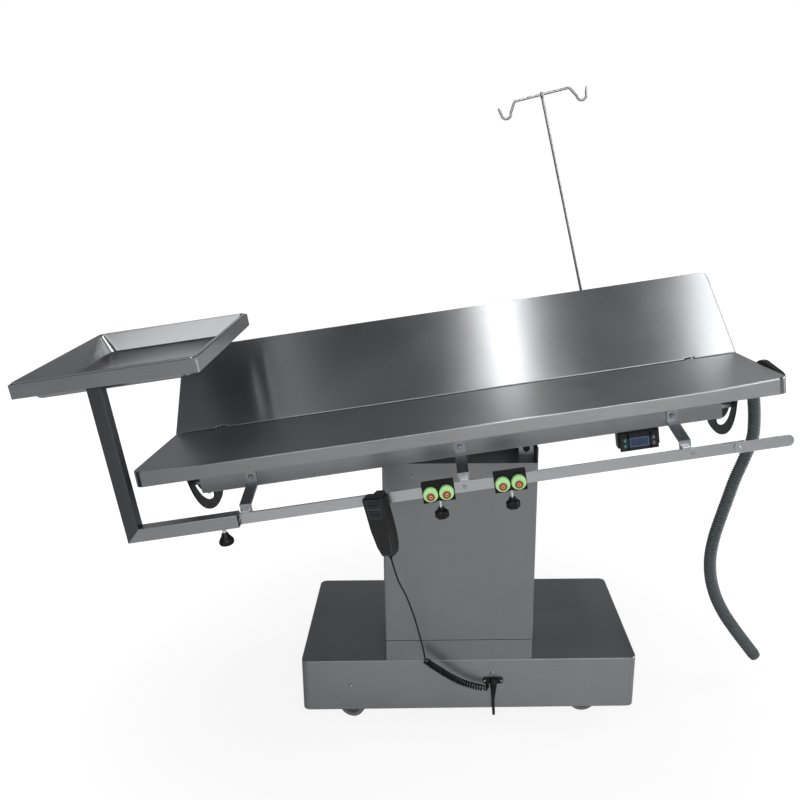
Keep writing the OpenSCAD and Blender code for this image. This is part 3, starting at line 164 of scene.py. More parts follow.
# ---- Drain hose ----
# A corrugated hose of dark grey PVC that slips over the trough's bent spigot and hangs free
# beside the table. It is blow-moulded, so each rib is rounded and the end is cut square.
def spline(points, steps):
    """A smooth line through the points, in equal steps between each two of them."""
    line = [Vector(p) for p in points]
    made = []
    for i in range(len(line) - 1):
        a, b, c, d = (line[min(max(i + k, 0), len(line) - 1)] for k in (-1, 0, 1, 2))
        for j in range(steps):
            f = j / steps
            made.append(0.5 * (2 * b + (c - a) * f + (2 * a - 5 * b + 4 * c - d) * f * f
                               + (3 * b - a - 3 * c + d) * f ** 3))
    return made + [line[-1]]


def evenly(line, count):
    """The same line with its points evenly spaced."""
    along = [0.0]
    for p, q in zip(line, line[1:]):
        along.append(along[-1] + (q - p).length)
    made, k = [], 0
    for i in range(count):
        s = along[-1] * i / (count - 1)
        while k < len(line) - 2 and along[k + 1] < s:
            k += 1
        made.append(line[k].lerp(line[k + 1], (s - along[k]) / max(along[k + 1] - along[k], 1e-9)))
    return made


def sweep(line, radii, sides):
    """A closed tube along a line, with its own radius at each point."""
    bm = bmesh.new()
    side = edges = None
    for i, p in enumerate(line):
        t = (line[min(i + 1, len(line) - 1)] - line[max(i - 1, 0)]).normalized()
        if side is None:
            side = t.cross(Vector((0, 0, 1)) if abs(t.z) < 0.9 else Vector((1, 0, 0))).normalized()
        side = (side - side.dot(t) * t).normalized()
        turn = Matrix((side, t.cross(side), t)).transposed().to_4x4()
        spot = Matrix.Translation(p) @ turn @ Matrix.Scale(radii[i], 4)
        if edges is None:
            ring = bmesh.ops.create_circle(bm, cap_ends=False, segments=sides, radius=1)["verts"]
            edges = list({e for v in ring for e in v.link_edges})
            bmesh.ops.transform(bm, matrix=spot, verts=ring)
            bmesh.ops.contextual_create(bm, geom=edges)
        else:
            made = bmesh.ops.extrude_edge_only(bm, edges=edges)["geom"]
            new = [g for g in made if isinstance(g, bmesh.types.BMVert)]
            bmesh.ops.transform(bm, matrix=spot @ back, verts=new)
            edges = [g for g in made if isinstance(g, bmesh.types.BMEdge) and g.verts[0] in new
                     and g.verts[1] in new]
        back = spot.inverted()
    bmesh.ops.contextual_create(bm, geom=edges)
    bmesh.ops.recalc_face_normals(bm, faces=bm.faces)
    return bm


def weighted(mesh, degrees):
    """Corner normals weighted by area, so that flat sheet stays flat beside its eased edges."""
    around = [[] for _ in mesh.vertices]
    for face in mesh.polygons:
        for corner in face.loop_indices:
            around[mesh.loops[corner].vertex_index].append((face.normal.copy(), face.area))
    limit, normals = math.cos(math.radians(degrees)), [None] * len(mesh.loops)
    for face in mesh.polygons:
        for corner in face.loop_indices:
            near = around[mesh.loops[corner].vertex_index]
            total = sum((n * a for n, a in near if n.dot(face.normal) > limit), Vector())
            normals[corner] = total.normalized() if total.length > 0 else face.normal.copy()
    mesh.normals_split_custom_set(normals)


def piece(name, bm, look, body=None, *nodes, place=None, smooth=30, turn_out=True, firm=True, slot=None):
    """Makes a visible object of the bmesh, with its material, on its body and in its nodes' place."""
    if place is not None:
        bmesh.ops.transform(bm, matrix=place, verts=bm.verts)
    bmesh.ops.remove_doubles(bm, verts=bm.verts, dist=1e-6)
    if turn_out:
        bmesh.ops.recalc_face_normals(bm, faces=bm.faces)
    mesh = bpy.data.meshes.new(name)
    bm.to_mesh(mesh)
    bm.free()
    mesh.shade_smooth()
    if firm:
        weighted(mesh, smooth)
    else:
        mesh.set_sharp_from_angle(angle=math.radians(smooth))
    mesh.materials.append(look)
    made = bpy.data.objects.new(name, mesh)
    bpy.context.scene.collection.objects.link(made)
    if body:
        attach(made, body)
    if nodes:
        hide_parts(*nodes)
    return made


def polymer(name, tone, rough, dust, grain_mm):
    """PVC, rubber, nylon or silicone, matt from its tool, with a bloom of dust. A real orange-peel
    is too fine to show, so it is drawn about 1 mm across."""
    made, tree = material(name)
    spot = add(tree, "TexCoord").outputs["Object"]
    peel = add(tree, "TexNoise", Vector=spot, Scale=1000 / grain_mm, Detail=2.0)
    haze = add(tree, "TexNoise", Vector=spot, Scale=22.0, Detail=4.0)
    tint = add(tree, "Mix", {"data_type": "RGBA"}, Factor=haze, _6=linear(tone), _7=linear(dust))
    bump = add(tree, "Bump", Strength=0.25, Distance=0.0003, Height=peel)
    gloss = add(tree, "MapRange", Value=haze, To_Min=rough - 0.07, To_Max=rough + 0.1)
    add(tree, "OutputMaterial", Surface=add(
        tree, "BsdfPrincipled", Base_Color=tint, Roughness=gloss, IOR=1.53, Specular_IOR_Level=0.3,
        Normal=bump))
    return made


hose_pvc = polymer("corrugated_grey_pvc", "#4c5254", 0.45, "#666d6e", 1.6)
hose_route = [(.717, -.013, .815), (.725, -.013, .759), (.726, -.013, .702), (.710, -.013, .646),
              (.692, -.013, .592), (.678, -.013, .537), (.664, -.013, .481), (.652, -.013, .426),
              (.647, -.013, .369), (.653, -.013, .312), (.670, -.013, .257), (.696, -.013, .206),
              (.728, -.013, .159), (.763, -.013, .113), (.798, -.013, .068)]
hose_wave = (0.0133, 0.0150, 0.0165, 0.0152)
hose_steps = 128 * len(hose_wave)
hose_line = evenly(spline(hose_route, 12), hose_steps + 1)
plain_end, bore_radius, bore_depth = 0.0149, 0.0125, 80
hose_radii = [hose_wave[i % 4] if 3 < i < hose_steps - 3 else plain_end for i in range(hose_steps + 1)]
bore = hose_line[::-1][:bore_depth:4]
drain_hose = piece("drain_hose_ribbed", sweep(hose_line + bore, hose_radii + [bore_radius] * len(bore), 20),
                   hose_pvc, smooth=50, firm=False)
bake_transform(drain_hose)
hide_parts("drain_hose")


# ---- Handset lead and curly cord ----
# The handset's lead is a round rubber cable. It hangs from the handset's sleeve and turns
# into a springy coil that is wound on a mandrel and plugs into the front of the base.
cord_rubber = polymer("black_cord_rubber", "#060607", 0.45, "#0e0f10", 0.9)
cable_radius = 0.002
lead_route = [(-.18205, -.3707, .5529), (-.1792, -.3703, .5405), (-.174, -.365, .517),
              (-.166, -.347, .480), (-.152, -.316, .430), (-.139, -.294, .378), (-.129, -.276, .330),
              (-.119, -.261, .278), (-.113, -.254, .244), (-.110, -.2525, .224)]
lead_line = evenly(spline(lead_route, 8), 90)
handset_lead = piece("handset_lead_cable", sweep(lead_line, [cable_radius] * 90, 10), cord_rubber, firm=False)
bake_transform(handset_lead)
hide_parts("handset_lead")

curly_route = [(-.109, -.247, .217), (-.091, -.244, .200), (-.072, -.241, .184), (-.053, -.237, .168),
               (-.033, -.234, .153), (-.012, -.231, .141), (.011, -.228, .131), (.034, -.226, .124)]
curls, curl_radius, curl_steps = 26, 0.0065, 20
turns_line = evenly(spline(curly_route, 36), curls * curl_steps + 1)
curl_path, side = [], None
for i, p in enumerate(turns_line):
    t = (turns_line[min(i + 1, len(turns_line) - 1)] - turns_line[max(i - 1, 0)]).normalized()
    side = t.cross(Vector((0, 0, 1))).normalized() if side is None else (side - side.dot(t) * t).normalized()
    angle = 2 * math.pi * i / curl_steps
    curl_path.append(p + curl_radius * (math.cos(angle) * side + math.sin(angle) * t.cross(side)))
curl_path += spline([curl_path[-1], (.041, -.226, .118), (.044, -.221, .119), (.044, -.2172, .119)], 5)[1:]
curly_cord = piece("curly_cord_wound", sweep(curl_path, [cable_radius] * len(curl_path), 8), cord_rubber,
                   firm=False)
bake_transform(curly_cord)
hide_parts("curly_cord")


# ---- Mains lead ----
# A round rubber mains lead leaves the gland downwards, passes under the base between the
# castors and lies in a neat coil behind it, tied, with its moulded plug beside it.
def block(bm, middle, size):
    place = Matrix.Translation(middle) @ Matrix.Diagonal((*size, 1))
    return bmesh.ops.create_cube(bm, size=1, matrix=place)["verts"]


def rod(bm, sides, foot, head, length, place):
    return bmesh.ops.create_cone(bm, cap_ends=True, segments=sides, radius1=foot, radius2=head, depth=length,
                                 matrix=place)["verts"]


def ease(bm, edges, width, steps):
    bmesh.ops.bevel(bm, geom=edges, offset=width, segments=steps, affect="EDGES", profile=0.5, material=-1)


def span(edge, axis):
    """How far an edge runs along one axis."""
    return abs(edge.verts[0].co[axis] - edge.verts[1].co[axis])


mains_route = [(.059, -.222, .094), (.059, -.222, .078), (.060, -.222, .062), (.061, -.218, .047),
               (.062, -.208, .036), (.063, -.194, .031), (.064, -.175, .028), (.066, -.150, .020),
               (.069, -.120, .010), (.072, -.090, .005), (.075, -.055, .004), (.077, -.010, .004),
               (.078, .050, .004), (.078, .110, .004), (.077, .170, .004), (.076, .230, .004),
               (.076, .2994, .004)]
tail_route = [(.0722, .3006, .0116), (.0722, .316, .0116), (.0716, .330, .0112), (.070, .345, .0084),
              (.0675, .362, .0048), (.064, .380, .004)]
coil_centre, coil_r, coil_pitch, coil_loops, coil_turn = Vector((.021, .300, .004)), .055, .0076, 8, 4.25
coil_steps, coil_line = 32, []
for i in range(coil_loops * coil_steps + 1):
    t = i / coil_steps
    r = coil_r - coil_pitch * (t if t <= coil_turn else 2 * coil_turn - t)
    up = min(max((t - coil_turn + 0.25) / 0.5, 0), 1)
    angle = 2 * math.pi * t
    coil_line.append(coil_centre + Vector((r * math.cos(angle), r * math.sin(angle), coil_pitch * up)))
mains_line = spline(mains_route, 5)[:-1] + coil_line + spline(tail_route, 5)[1:]
mains_radius = 0.0035
mains_lead = piece("mains_lead", sweep(mains_line, [mains_radius] * len(mains_line), 12), cord_rubber, "base",
                   "mains_cord", "mains_coil", slot="black_cord")

plug_bm = bmesh.new()
block(plug_bm, (.031, 0, .004), (.034, .024, .0155))
ease(plug_bm, plug_bm.edges, .004, 4)
rod(plug_bm, 24, .0052, .004, .0148, shift(.0076, 0, 0) @ spin(-90, "Y"))
for s in (-1, 1):
    rod(plug_bm, 16, .0024, .0024, .020, shift(.0575, s * .0095, .004) @ spin(90, "Y"))
(x0, y0, _), (x1, y1, _) = tail_route[-2:]
mains_plug = piece("mains_plug_moulded", plug_bm, cord_rubber, "base", "mains_plug",
                   place=shift(*tail_route[-1]) @ Matrix.Rotation(math.atan2(y1 - y0, x1 - x0), 4, "Z"))
tie_bm = bmesh.new()
block(tie_bm, (-.0187, .300, .0079), (.0405, .012, .0152))
bmesh.ops.delete(tie_bm, geom=[f for f in tie_bm.faces if abs(f.normal.y) > 0.9], context="FACES")
ease(tie_bm, [e for e in tie_bm.edges if span(e, 1) > .01], .004, 3)
bmesh.ops.solidify(tie_bm, geom=tie_bm.faces, thickness=-.0004)
coil_tie = piece("coil_tie_strap", tie_bm, cord_rubber, "base")


# ---- Castors ----
# Four swivel castors with pressed, zinc-plated forks and grey thermoplastic rubber wheels. The
# rubber tread is moulded over a harder hub, and a plated nut closes each axle.
def plated(name, tone, rough, cloud_tone="#c9ccd0"):
    """Plated or bright drawn metal: cool and slightly cloudy, with a faint spangle of 6 mm."""
    made, tree = material(name)
    spot = add(tree, "TexCoord").outputs["Object"]
    spangle = add(tree, "TexVoronoi", Vector=spot, Scale=1000 / 6.25)
    cloud = add(tree, "TexNoise", Vector=spot, Scale=1000 / 25, Detail=3.0)
    tint = add(tree, "Mix", {"data_type": "RGBA"}, Factor=cloud, _6=linear(tone), _7=linear(cloud_tone))
    gloss = add(tree, "MapRange", Value=spangle, To_Min=rough, To_Max=rough + 0.14)
    add(tree, "OutputMaterial", Surface=add(
        tree, "BsdfPrincipled", Base_Color=tint, Metallic=1.0, Roughness=gloss))
    return made


def carry(look, slot_name, *nodes):
    for n in nodes:
        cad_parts[n].data.materials.clear()
        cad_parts[n].data.materials.append(look)


zinc_plate = plated("bright_zinc_plate", "#9a9fa4", 0.28)
castor_rubber = polymer("grey_castor_rubber", "#7c7d7c", 0.6, "#8d8e8c", 1.2)
hub_nylon = polymer("grey_nylon_hub", "#5e6062", 0.45, "#6c6e70", 1.5)
wheel_places = {"fl": (-.325, -.140, -25), "fr": (.325, -.140, 180), "rl": (-.325, .140, 35),
                "rr": (.325, .140, 150)}
trail, wheel_radius = .028, .0375
half_tread = [(.0275, -.0096), (.0310, -.0110), (.0345, -.0108), (.0364, -.0085), (.0375, -.0040)]
half_hub = [(.0041, -.0110), (.0088, -.0110), (.0100, -.0095), (.0112, -.0072), (.0240, -.0066),
            (.0268, -.0098), (.0276, -.0098)]


def both_sides(profile):
    return profile + [(r, -z) for r, z in reversed(profile)]


def turned(profile, steps=48, close=True):
    """Turns a profile of radius and height round the Z axis."""
    bm = bmesh.new()
    ring = [bm.verts.new((r, 0, z)) for r, z in profile]
    edges = [bm.edges.new((a, b)) for a, b in zip(ring, ring[1:] + (ring[:1] if close else []))]
    bmesh.ops.spin(bm, geom=ring + edges, cent=(0, 0, 0), axis=(0, 0, 1), angle=2 * math.pi, steps=steps,
                   use_merge=True)
    bmesh.ops.remove_doubles(bm, verts=bm.verts, dist=1e-6)
    bmesh.ops.recalc_face_normals(bm, faces=bm.faces)
    return bm


for key, (x, y, degrees) in wheel_places.items():
    at = shift(x, y, 0) @ spin(degrees, "Z") @ shift(trail, 0, wheel_radius) @ spin(90, "X")
    piece("castor_tread_" + key, turned(both_sides(half_tread), 64), castor_rubber, "wheel_" + key,
          "castor_wheel_" + key, place=at, slot="grey_rubber")
    piece("castor_hub_" + key, turned(both_sides(half_hub), 48), hub_nylon, "wheel_" + key, place=at)
    nuts = bmesh.new()
    for s in (-1, 1):
        rod(nuts, 6, .0065, .0065, .004, shift(0, 0, s * .0175))
    ease(nuts, nuts.edges, .0004, 1)
    piece("castor_nuts_" + key, nuts, zinc_plate, "castor_" + key, place=at)
carry(zinc_plate, "dull_steel", "castor_fork_fl", "castor_fork_fr", "castor_fork_rl", "castor_fork_rr")


# ---- Chassis and base cover ----
# A steel chassis plate carries the column and the castors. A cover of 2 mm stainless sheet,
# folded and welded at the corners, then brushed along its length, drops over it.
def brushed(name, tone, rough, grain_mm, along, aniso=0.0, smear=0.1):
    """Stainless sheet brushed with a belt: lines along the grain stretch each reflection across
    it, and handling leaves it cloudy. Real lines are too fine to show, so they are drawn about
    1 mm apart."""
    made, tree = material(name)
    spot = add(tree, "TexCoord").outputs["Object"]
    stretch = [1000 / grain_mm * (0.012 if k == along else 1.0) for k in range(3)]
    drawn = add(tree, "Mapping", Vector=spot, Scale=stretch)
    lines = add(tree, "TexNoise", Detail=3.0, Scale=1.0, Vector=drawn)
    cloud = add(tree, "TexNoise", Vector=spot, Scale=1000 / 200, Detail=5.0, Roughness=0.6)
    tint = add(tree, "Mix", {"data_type": "RGBA"}, Factor=cloud, _6=linear(tone[0]), _7=linear(tone[1]))
    fleck = add(tree, "Mix", {"data_type": "RGBA", "blend_type": "MULTIPLY"}, Factor=0.22,
                _6=tint, _7=add(tree, "ValToRGB", Fac=lines))
    worn = add(tree, "Math", {"operation": "MULTIPLY_ADD"}, _0=cloud, _1=smear, _2=rough)
    gloss = add(tree, "Math", {"operation": "MULTIPLY_ADD"}, _0=lines, _1=0.08, _2=worn)
    bump = add(tree, "Bump", Strength=0.12, Distance=0.0002, Height=lines)
    grain_map = {"direction_type": "UV_MAP", "uv_map": "grain"}
    grain = {"Tangent": add(tree, "Tangent", grain_map)} if aniso else {}
    add(tree, "OutputMaterial", Surface=add(
        tree, "BsdfPrincipled", Base_Color=fleck, Metallic=1.0, Roughness=gloss, Anisotropic=aniso,
        Normal=bump, **grain))
    return made


def grained(bm, along, ends):
    """Lays the grain's own map over a sheet: V runs along the brushing and U across it. Faces that
    lie square to the brushing are brushed along a second direction."""
    layer = bm.loops.layers.uv.new("grain")
    for face in bm.faces:
        run = Vector(along) - face.normal * face.normal.dot(Vector(along))
        if run.length < 0.3:
            run = Vector(ends) - face.normal * face.normal.dot(Vector(ends))
        run.normalize()
        across = face.normal.cross(run)
        for loop in face.loops:
            loop[layer].uv = (loop.vert.co.dot(across), loop.vert.co.dot(run))


def case(low, high, corner, fold, thick, open_side="bottom", steps=8):
    """A folded box of sheet: upright corners rounded, the top fold softened, one side open."""
    low, high = Vector(low), Vector(high)
    bm = bmesh.new()
    block(bm, (low + high) / 2, high - low)
    upright = [e for e in bm.edges if abs((e.verts[0].co - e.verts[1].co).normalized().z) > 0.9]
    ease(bm, upright, corner, steps)
    if fold:
        top = [e for e in bm.edges if all(v.co.z > high.z - 1e-6 for v in e.verts)]
        ease(bm, top, fold, 3)
    away = [f for f in bm.faces if abs(f.normal.z) > 0.9
            and (f.calc_center_median().z < low.z + 1e-6 or (open_side == "both" and f.calc_area() > 0.01))]
    bmesh.ops.delete(bm, geom=away, context="FACES")
    bmesh.ops.recalc_face_normals(bm, faces=bm.faces)
    if open_side == "both" or sum(f.normal.z * f.calc_area() for f in bm.faces) < 0:
        middle = (low + high) / 2
        if sum((f.calc_center_median() - middle).dot(f.normal) for f in bm.faces) < 0:
            bmesh.ops.reverse_faces(bm, faces=bm.faces)
    bmesh.ops.solidify(bm, geom=bm.faces, thickness=thick)
    return bm


def screws(name, places, facing, radius, look, body):
    """Button-head screws with a hexagon socket, each set with its head's back on the sheet."""
    bm = bmesh.new()
    turn = Vector(facing).to_track_quat("Z", "Y").to_matrix().to_4x4()
    for p in places:
        head = rod(bm, 20, radius, radius * 0.62, radius * 0.6,
                   Matrix.Translation(p) @ turn @ shift(0, 0, radius * 0.3))
        rim = {f for v in head for f in v.link_faces
               if len(f.verts) == 20 and f.normal.dot(Vector(facing)) > 0.9}
        bmesh.ops.inset_region(bm, faces=list(rim), thickness=radius * 0.28)
        bmesh.ops.translate(bm, verts=list({v for f in rim for v in f.verts}),
                            vec=Vector(facing) * -radius * 0.4)
    return piece(name, bm, look, body, smooth=40)


chassis_paint = plated("zinc_plated_chassis", "#7d8185", 0.4, "#9a9ea2")
carry(chassis_paint, "dull_steel", "chassis")
base_steel = brushed("brushed_stainless_base", ("#98999b", "#a9abad"), 0.26, 0.9, 0, 0.65)
cover_bm = case((-.416, -.209, .056), (.416, .209, .193), .018, .003, .002)
grained(cover_bm, (1, 0, 0), (0, 1, 0))
piece("base_cover_sheet", cover_bm, base_steel, "base", "base_cover", turn_out=False, slot="steel")
screw_steel = plated("stainless_screw_heads", "#b4b6b8", 0.22)
screws("base_screws", [(-.295, -.209, .124), (.292, -.209, .126)], (0, -1, 0), .0045, screw_steel, "base")
screws("base_screws_rear", [(-.295, .209, .124), (.292, .209, .126)], (0, 1, 0), .0045, screw_steel, "base")


# ---- Inlets in the front of the base ----
# A cord gland of moulded black nylon with two screws and a tapered, ribbed strain relief, a
# small bright sleeve above it, and the socket of the curly cord.
nylon = polymer("moulded_black_nylon", "#08090a", 0.40, "#0f1011", 1.1)
flange_bm = bmesh.new()
block(flange_bm, (.058, -.2108, .135), (.052, .0036, .018))
ease(flange_bm, [e for e in flange_bm.edges if span(e, 1) > .003], .0085, 8)
ease(flange_bm, [e for e in flange_bm.edges if all(v.co.y < -.2125 for v in e.verts)], .0009, 3)
piece("cord_gland", flange_bm, nylon, "base", "base_inlets", slot="black_plastic")
relief = [(.0001, .009), (.005, .0085), (.0088, .004), (.009, 0)]
for k in range(9):
    rib, gap, z = .0088 - .00047 * k, .0076 - .00042 * k, -.004 * k
    relief += [(rib, z - .0008), (rib, z - .0030), (gap, z - .0034), (gap, z - .0044)]
relief += [(.0045, -.0405), (.0001, -.0408)]
piece("strain_relief", turned(relief, 24, close=False), nylon, "base", place=shift(.059, -.222, .135),
      smooth=40)
neck_bm = bmesh.new()
rod(neck_bm, 28, .0072, .0058, .010, shift(.058, -.217, .135) @ spin(-90, "X"))
piece("gland_neck", neck_bm, nylon, "base")
screws("gland_screws", [(.037, -.2126, .135), (.079, -.2126, .135)], (0, -1, 0), .003, screw_steel, "base")
sleeve_bm = turned([(.0028, -.006), (.0028, .0022), (.0036, .0030), (.0052, .0030), (.006, .0018), (.006, 0),
                    (.0048, -.0004), (.0048, -.006)], 36)
piece("bright_sleeve", sleeve_bm, screw_steel, "base", place=shift(.058, -.209, .153) @ spin(90, "X"))
# A black disc inside the sleeve stands for the dark inside of its hole: painted shade.
sleeve_shade_bm = bmesh.new()
rod(sleeve_shade_bm, 24, .0028, .0028, .001, shift(.058, -.2085, .153) @ spin(90, "X"))
piece("sleeve_bore_painted_shade", sleeve_shade_bm, nylon, "base")
socket_bm = turned([(.0001, .008), (.0035, .008), (.0044, .0072), (.0044, .0022), (.005, .0016), (.005, 0),
                    (.0001, 0)], 28, close=False)
piece("cord_socket", socket_bm, nylon, "base", place=shift(.044, -.209, .119) @ spin(90, "X"))


# ---- Column ----
# A fixed collar and sheath of stainless sheet stand on the base. The moving shroud slides over
# the sheath and hides two nested aluminium profiles with the lifting spindle in them.
column_steel = brushed("brushed_stainless_column", ("#8f9193", "#9fa1a3"), 0.30, 0.9, 2, 0.55)
for name, low, high, body, nodes in (
        ("column_collar", (-.208, -.209, .193), (.154, .151, .248), "base", ["fixed_shroud"]),
        ("column_sheath", (-.203, -.204, .193), (.149, .146, .6295), "base", []),
        ("column_shroud_sheet", (-.208, -.209, .2495), (.154, .151, .7095), "lift", ["column_shroud"])):
    mantle = case(low, high, .006, 0, .002, "both", 5)
    if body == "lift":
        # the upright ear beside the tilting frame
        block(mantle, (.153, -.153, .716), (.002, .1, .054))
    grained(mantle, (0, 0, 1), (1, 0, 0))
    piece(name, mantle, column_steel, body, *nodes, turn_out=False, slot="steel" if nodes else None)
screws("shroud_screws", [(-.138, -.209, .678), (.110, -.209, .675)], (0, -1, 0), .004, screw_steel, "lift")


def extruded(name, tone, rough):
    """Natural anodised aluminium: an even satin metal with faint die lines along the profile. Real
    ones are too fine to show, so they are drawn about 2 mm apart."""
    made, tree = material(name)
    spot = add(tree, "TexCoord").outputs["Object"]
    drawn = add(tree, "Mapping", Vector=spot, Scale=(1000 / 2, 1000 / 2, 1000 / 250))
    lines = add(tree, "TexNoise", Scale=1.0, Detail=2.0, Vector=drawn)
    gloss = add(tree, "MapRange", Value=lines, To_Min=rough, To_Max=rough + 0.1)
    add(tree, "OutputMaterial", Surface=add(
        tree, "BsdfPrincipled", Base_Color=linear(tone), Metallic=1.0, Roughness=gloss))
    return made


profile_alloy = extruded("anodised_aluminium_profile", "#b9bbbd", 0.34)
carry(profile_alloy, "aluminium", "lift_column_outer", "lift_column_inner", "tilt_rod")
carry(nylon, "black_plastic", "lift_motor", "tilt_actuator")
bracket_steel = plated("zinc_plated_bracket", "#9a9ea2", 0.30, "#bbbfc3")
carry(bracket_steel, "dull_steel", "lift_head", "cross_members", "panel_brackets")
black_oxide = plated("blackened_steel", "#1b1d1f", 0.38, "#303336")
carry(black_oxide, "dark_steel", "tilt_pin")


# ---- Tilting frame ----
# Two square beams of stainless tube and four cross members make a welded frame. The tilt pin
# passes through lugs on the second cross member, and the tilt rod lifts the third.
tilt_pivot, rest_tilt = (.129, 0, .733), -8.5
tilted = shift(*tilt_pivot) @ spin(rest_tilt, "Y") @ shift(-.149, 0, .126)
tube_steel = brushed("satin_stainless_tube", ("#a2a4a6", "#b4b6b8"), 0.27, 0.7, 0)


def bars(boxes, edge=.0015, segments=3):
    """Square bars and plates, each with its long edges eased as tube and bar stock have them."""
    bm = bmesh.new()
    for low, high in boxes:
        low, high = Vector(low), Vector(high)
        corners = block(bm, (low + high) / 2, high - low)
        ease(bm, list({e for v in corners for e in v.link_edges}), edge, segments)
    return bm


piece("side_beam_tubes", bars([((-.597, -.243, -.097), (.590, -.213, -.047)),
                               ((-.597, .187, -.097), (.590, .217, -.047))], .003), tube_steel,
      "tilt_frame", "side_beams", place=tilted, slot="steel")
carry(bracket_steel, "dull_steel", "rail_hangers")


# ---- Top panels ----
# Each half of the top is one sheet of brushed stainless, folded down all round with a soft bend.
# The outer corners are creased upwards so that fluid runs to the drain along the hinge.
def arc(x, y, radius, angles):
    """Points on a circle, at a list of angles in degrees."""
    return [(x + radius * math.cos(math.radians(a)), y + radius * math.sin(math.radians(a))) for a in angles]


def folded_panel(near, far, rise, notch=None, top=.007, depth=.030, inner_depth=.010, bend=.0032, half=.705,
                 facet=.150, corner=.020):
    """One half of the top, from the hinge's side (near) to the free edge (far), without thickness."""
    def lift(x, y):
        return rise * max((abs(x) - half + facet * (y - near) / (far - near)) / facet, 0.0)

    edge = [(-half, near), (half, near)]
    if notch:
        inner, outer, deep_to = notch
        edge[1:1] = [(s * x, y) for s, x, y in (
            (-1, outer, near), (-1, outer, deep_to), (-1, inner, deep_to), (-1, inner, near),
            (1, inner, near), (1, inner, deep_to), (1, outer, deep_to), (1, outer, near))]
    rim = edge + [(half, near + .003)]
    rim += [(half, near + (far - near) * k / 6) for k in range(1, 6)]
    rim += arc(half - corner, far - corner, corner, [11.25 * k for k in range(9)])
    rim += [(half - facet * .5, far), (half - facet, far)]
    rim += [(-x, y) for x, y in reversed(rim[len(edge):])]
    count = len(rim)

    def outward(i):
        a, b, c = (Vector(rim[(i + k) % count]) for k in (-1, 0, 1))
        n1 = Vector(((b - a).y, -(b - a).x)).normalized()
        n2 = Vector(((c - b).y, -(c - b).x)).normalized()
        return (n1 + n2) / (1 + n1.dot(n2))

    bm = bmesh.new()
    rings = []
    for inset, drop in arc(bend, bend, -bend, range(90, -1, -15)) + [(0, None)]:
        ring = []
        for i, (x, y) in enumerate(rim):
            out = outward(i)
            deep = inner_depth if i < len(edge) else depth
            ring.append(bm.verts.new((x - out.x * inset, y - out.y * inset,
                                      top - deep if drop is None else top + lift(x, y) - drop)))
        rings.append(ring)
    for a, b in zip(rings, rings[1:]):
        for i in range(count):
            bm.faces.new((a[i], b[i], b[(i + 1) % count], a[(i + 1) % count]))
    last = len(edge) - 1
    right = [i for i, (x, y) in enumerate(rim) if i >= last and x >= half - facet - 1e-9]
    left = [i for i, (x, y) in enumerate(rim) if i > last and x <= -half + facet + 1e-9]
    first = rings[0]
    bm.faces.new([first[i] for i in right])
    bm.faces.new([first[i] for i in left + [0]])
    bm.faces.new([first[i] for i in list(range(last + 1)) + [max(right), min(left)]])
    return bm


panel_steel = brushed("brushed_stainless_top", ("#a3a5a7", "#b2b4b6"), 0.22, 1.0, 0, 0.85, 0.10)
hinge_line = tilted @ shift(0, -.013, -.020)
front_at = hinge_line @ spin(-2.4, "X") @ Matrix.Scale(-1, 4, (0, 1, 0))
rear_at = hinge_line @ spin(39.6, "X")


def sheet(bm, thick):
    """Turns a formed sheet's widest face upwards and thickens it inwards."""
    bmesh.ops.recalc_face_normals(bm, faces=bm.faces)
    if max(bm.faces, key=lambda f: f.calc_area()).normal.z < 0:
        bmesh.ops.reverse_faces(bm, faces=bm.faces)
    bmesh.ops.solidify(bm, geom=bm.faces, thickness=thick)
    return bm


for side, bm, at in (("front", folded_panel(.0075, .321, .006), front_at),
                     ("rear", folded_panel(.0035, .276, .0005, notch=(.577, .601, .0085)), rear_at)):
    grained(sheet(bm, .0015), (1, 0, 0), (0, 1, 0))
    piece(side + "_panel_sheet", bm, panel_steel, side + "_panel", side + "_panel", place=at, smooth=25,
          slot="steel")


# ---- Drain trough ----
# A folded stainless trough under the gap of the two panels, closed and welded at both ends. A
# bent pipe is welded into its right end and carries a turned barb for the hose.
trough_steel = brushed("satin_stainless_trough", ("#909294", "#a0a2a4"), 0.34, 0.8, 0)
trough_bm = bmesh.new()
block(trough_bm, (0, -.013, -.055), (1.388, .064, .044))
low_edges = [e for e in trough_bm.edges if all(v.co.z < -.07 for v in e.verts) and span(e, 0) > 1]
ease(trough_bm, low_edges, .006, 5)
bmesh.ops.delete(trough_bm, geom=[f for f in trough_bm.faces if f.normal.z > 0.9], context="FACES")
bmesh.ops.recalc_face_normals(trough_bm, faces=trough_bm.faces)
if min(trough_bm.faces, key=lambda f: f.calc_center_median().z).normal.z > 0:
    bmesh.ops.reverse_faces(trough_bm, faces=trough_bm.faces)
bmesh.ops.solidify(trough_bm, geom=trough_bm.faces, thickness=.0015)
piece("drain_trough_sheet", trough_bm, trough_steel, "tilt_frame", "drain_trough", place=tilted,
      slot="steel")
pipe_radius = .0125
elbow = [(.6925, 0), (.700, 0), (.716, 0)] + arc(.716, -.027, .027, range(81, -1, -9))
barb = ((-.0685, pipe_radius), (-.0690, .0103), (-.0720, .0103), (-.0722, .0112), (-.0756, .0103),
        (-.0790, .0103), (-.0792, .0112), (-.0826, .0103), (-.0885, .0103), (-.0885, .0088), (-.070, .0088))
elbow_r = [pipe_radius] * len(elbow) + [r for z, r in barb]
elbow = [Vector((x, 0, z)) for x, z in elbow + [(.743, z) for z, r in barb]]
elbow_steel = brushed("polished_outlet_pipe", ("#a5a7a9", "#b6b8ba"), 0.2, 1.0, 0)
piece("outlet_elbow", sweep(elbow, elbow_r, 28), elbow_steel, "tilt_frame",
      place=tilted @ shift(0, -.013, -.0625), smooth=40)


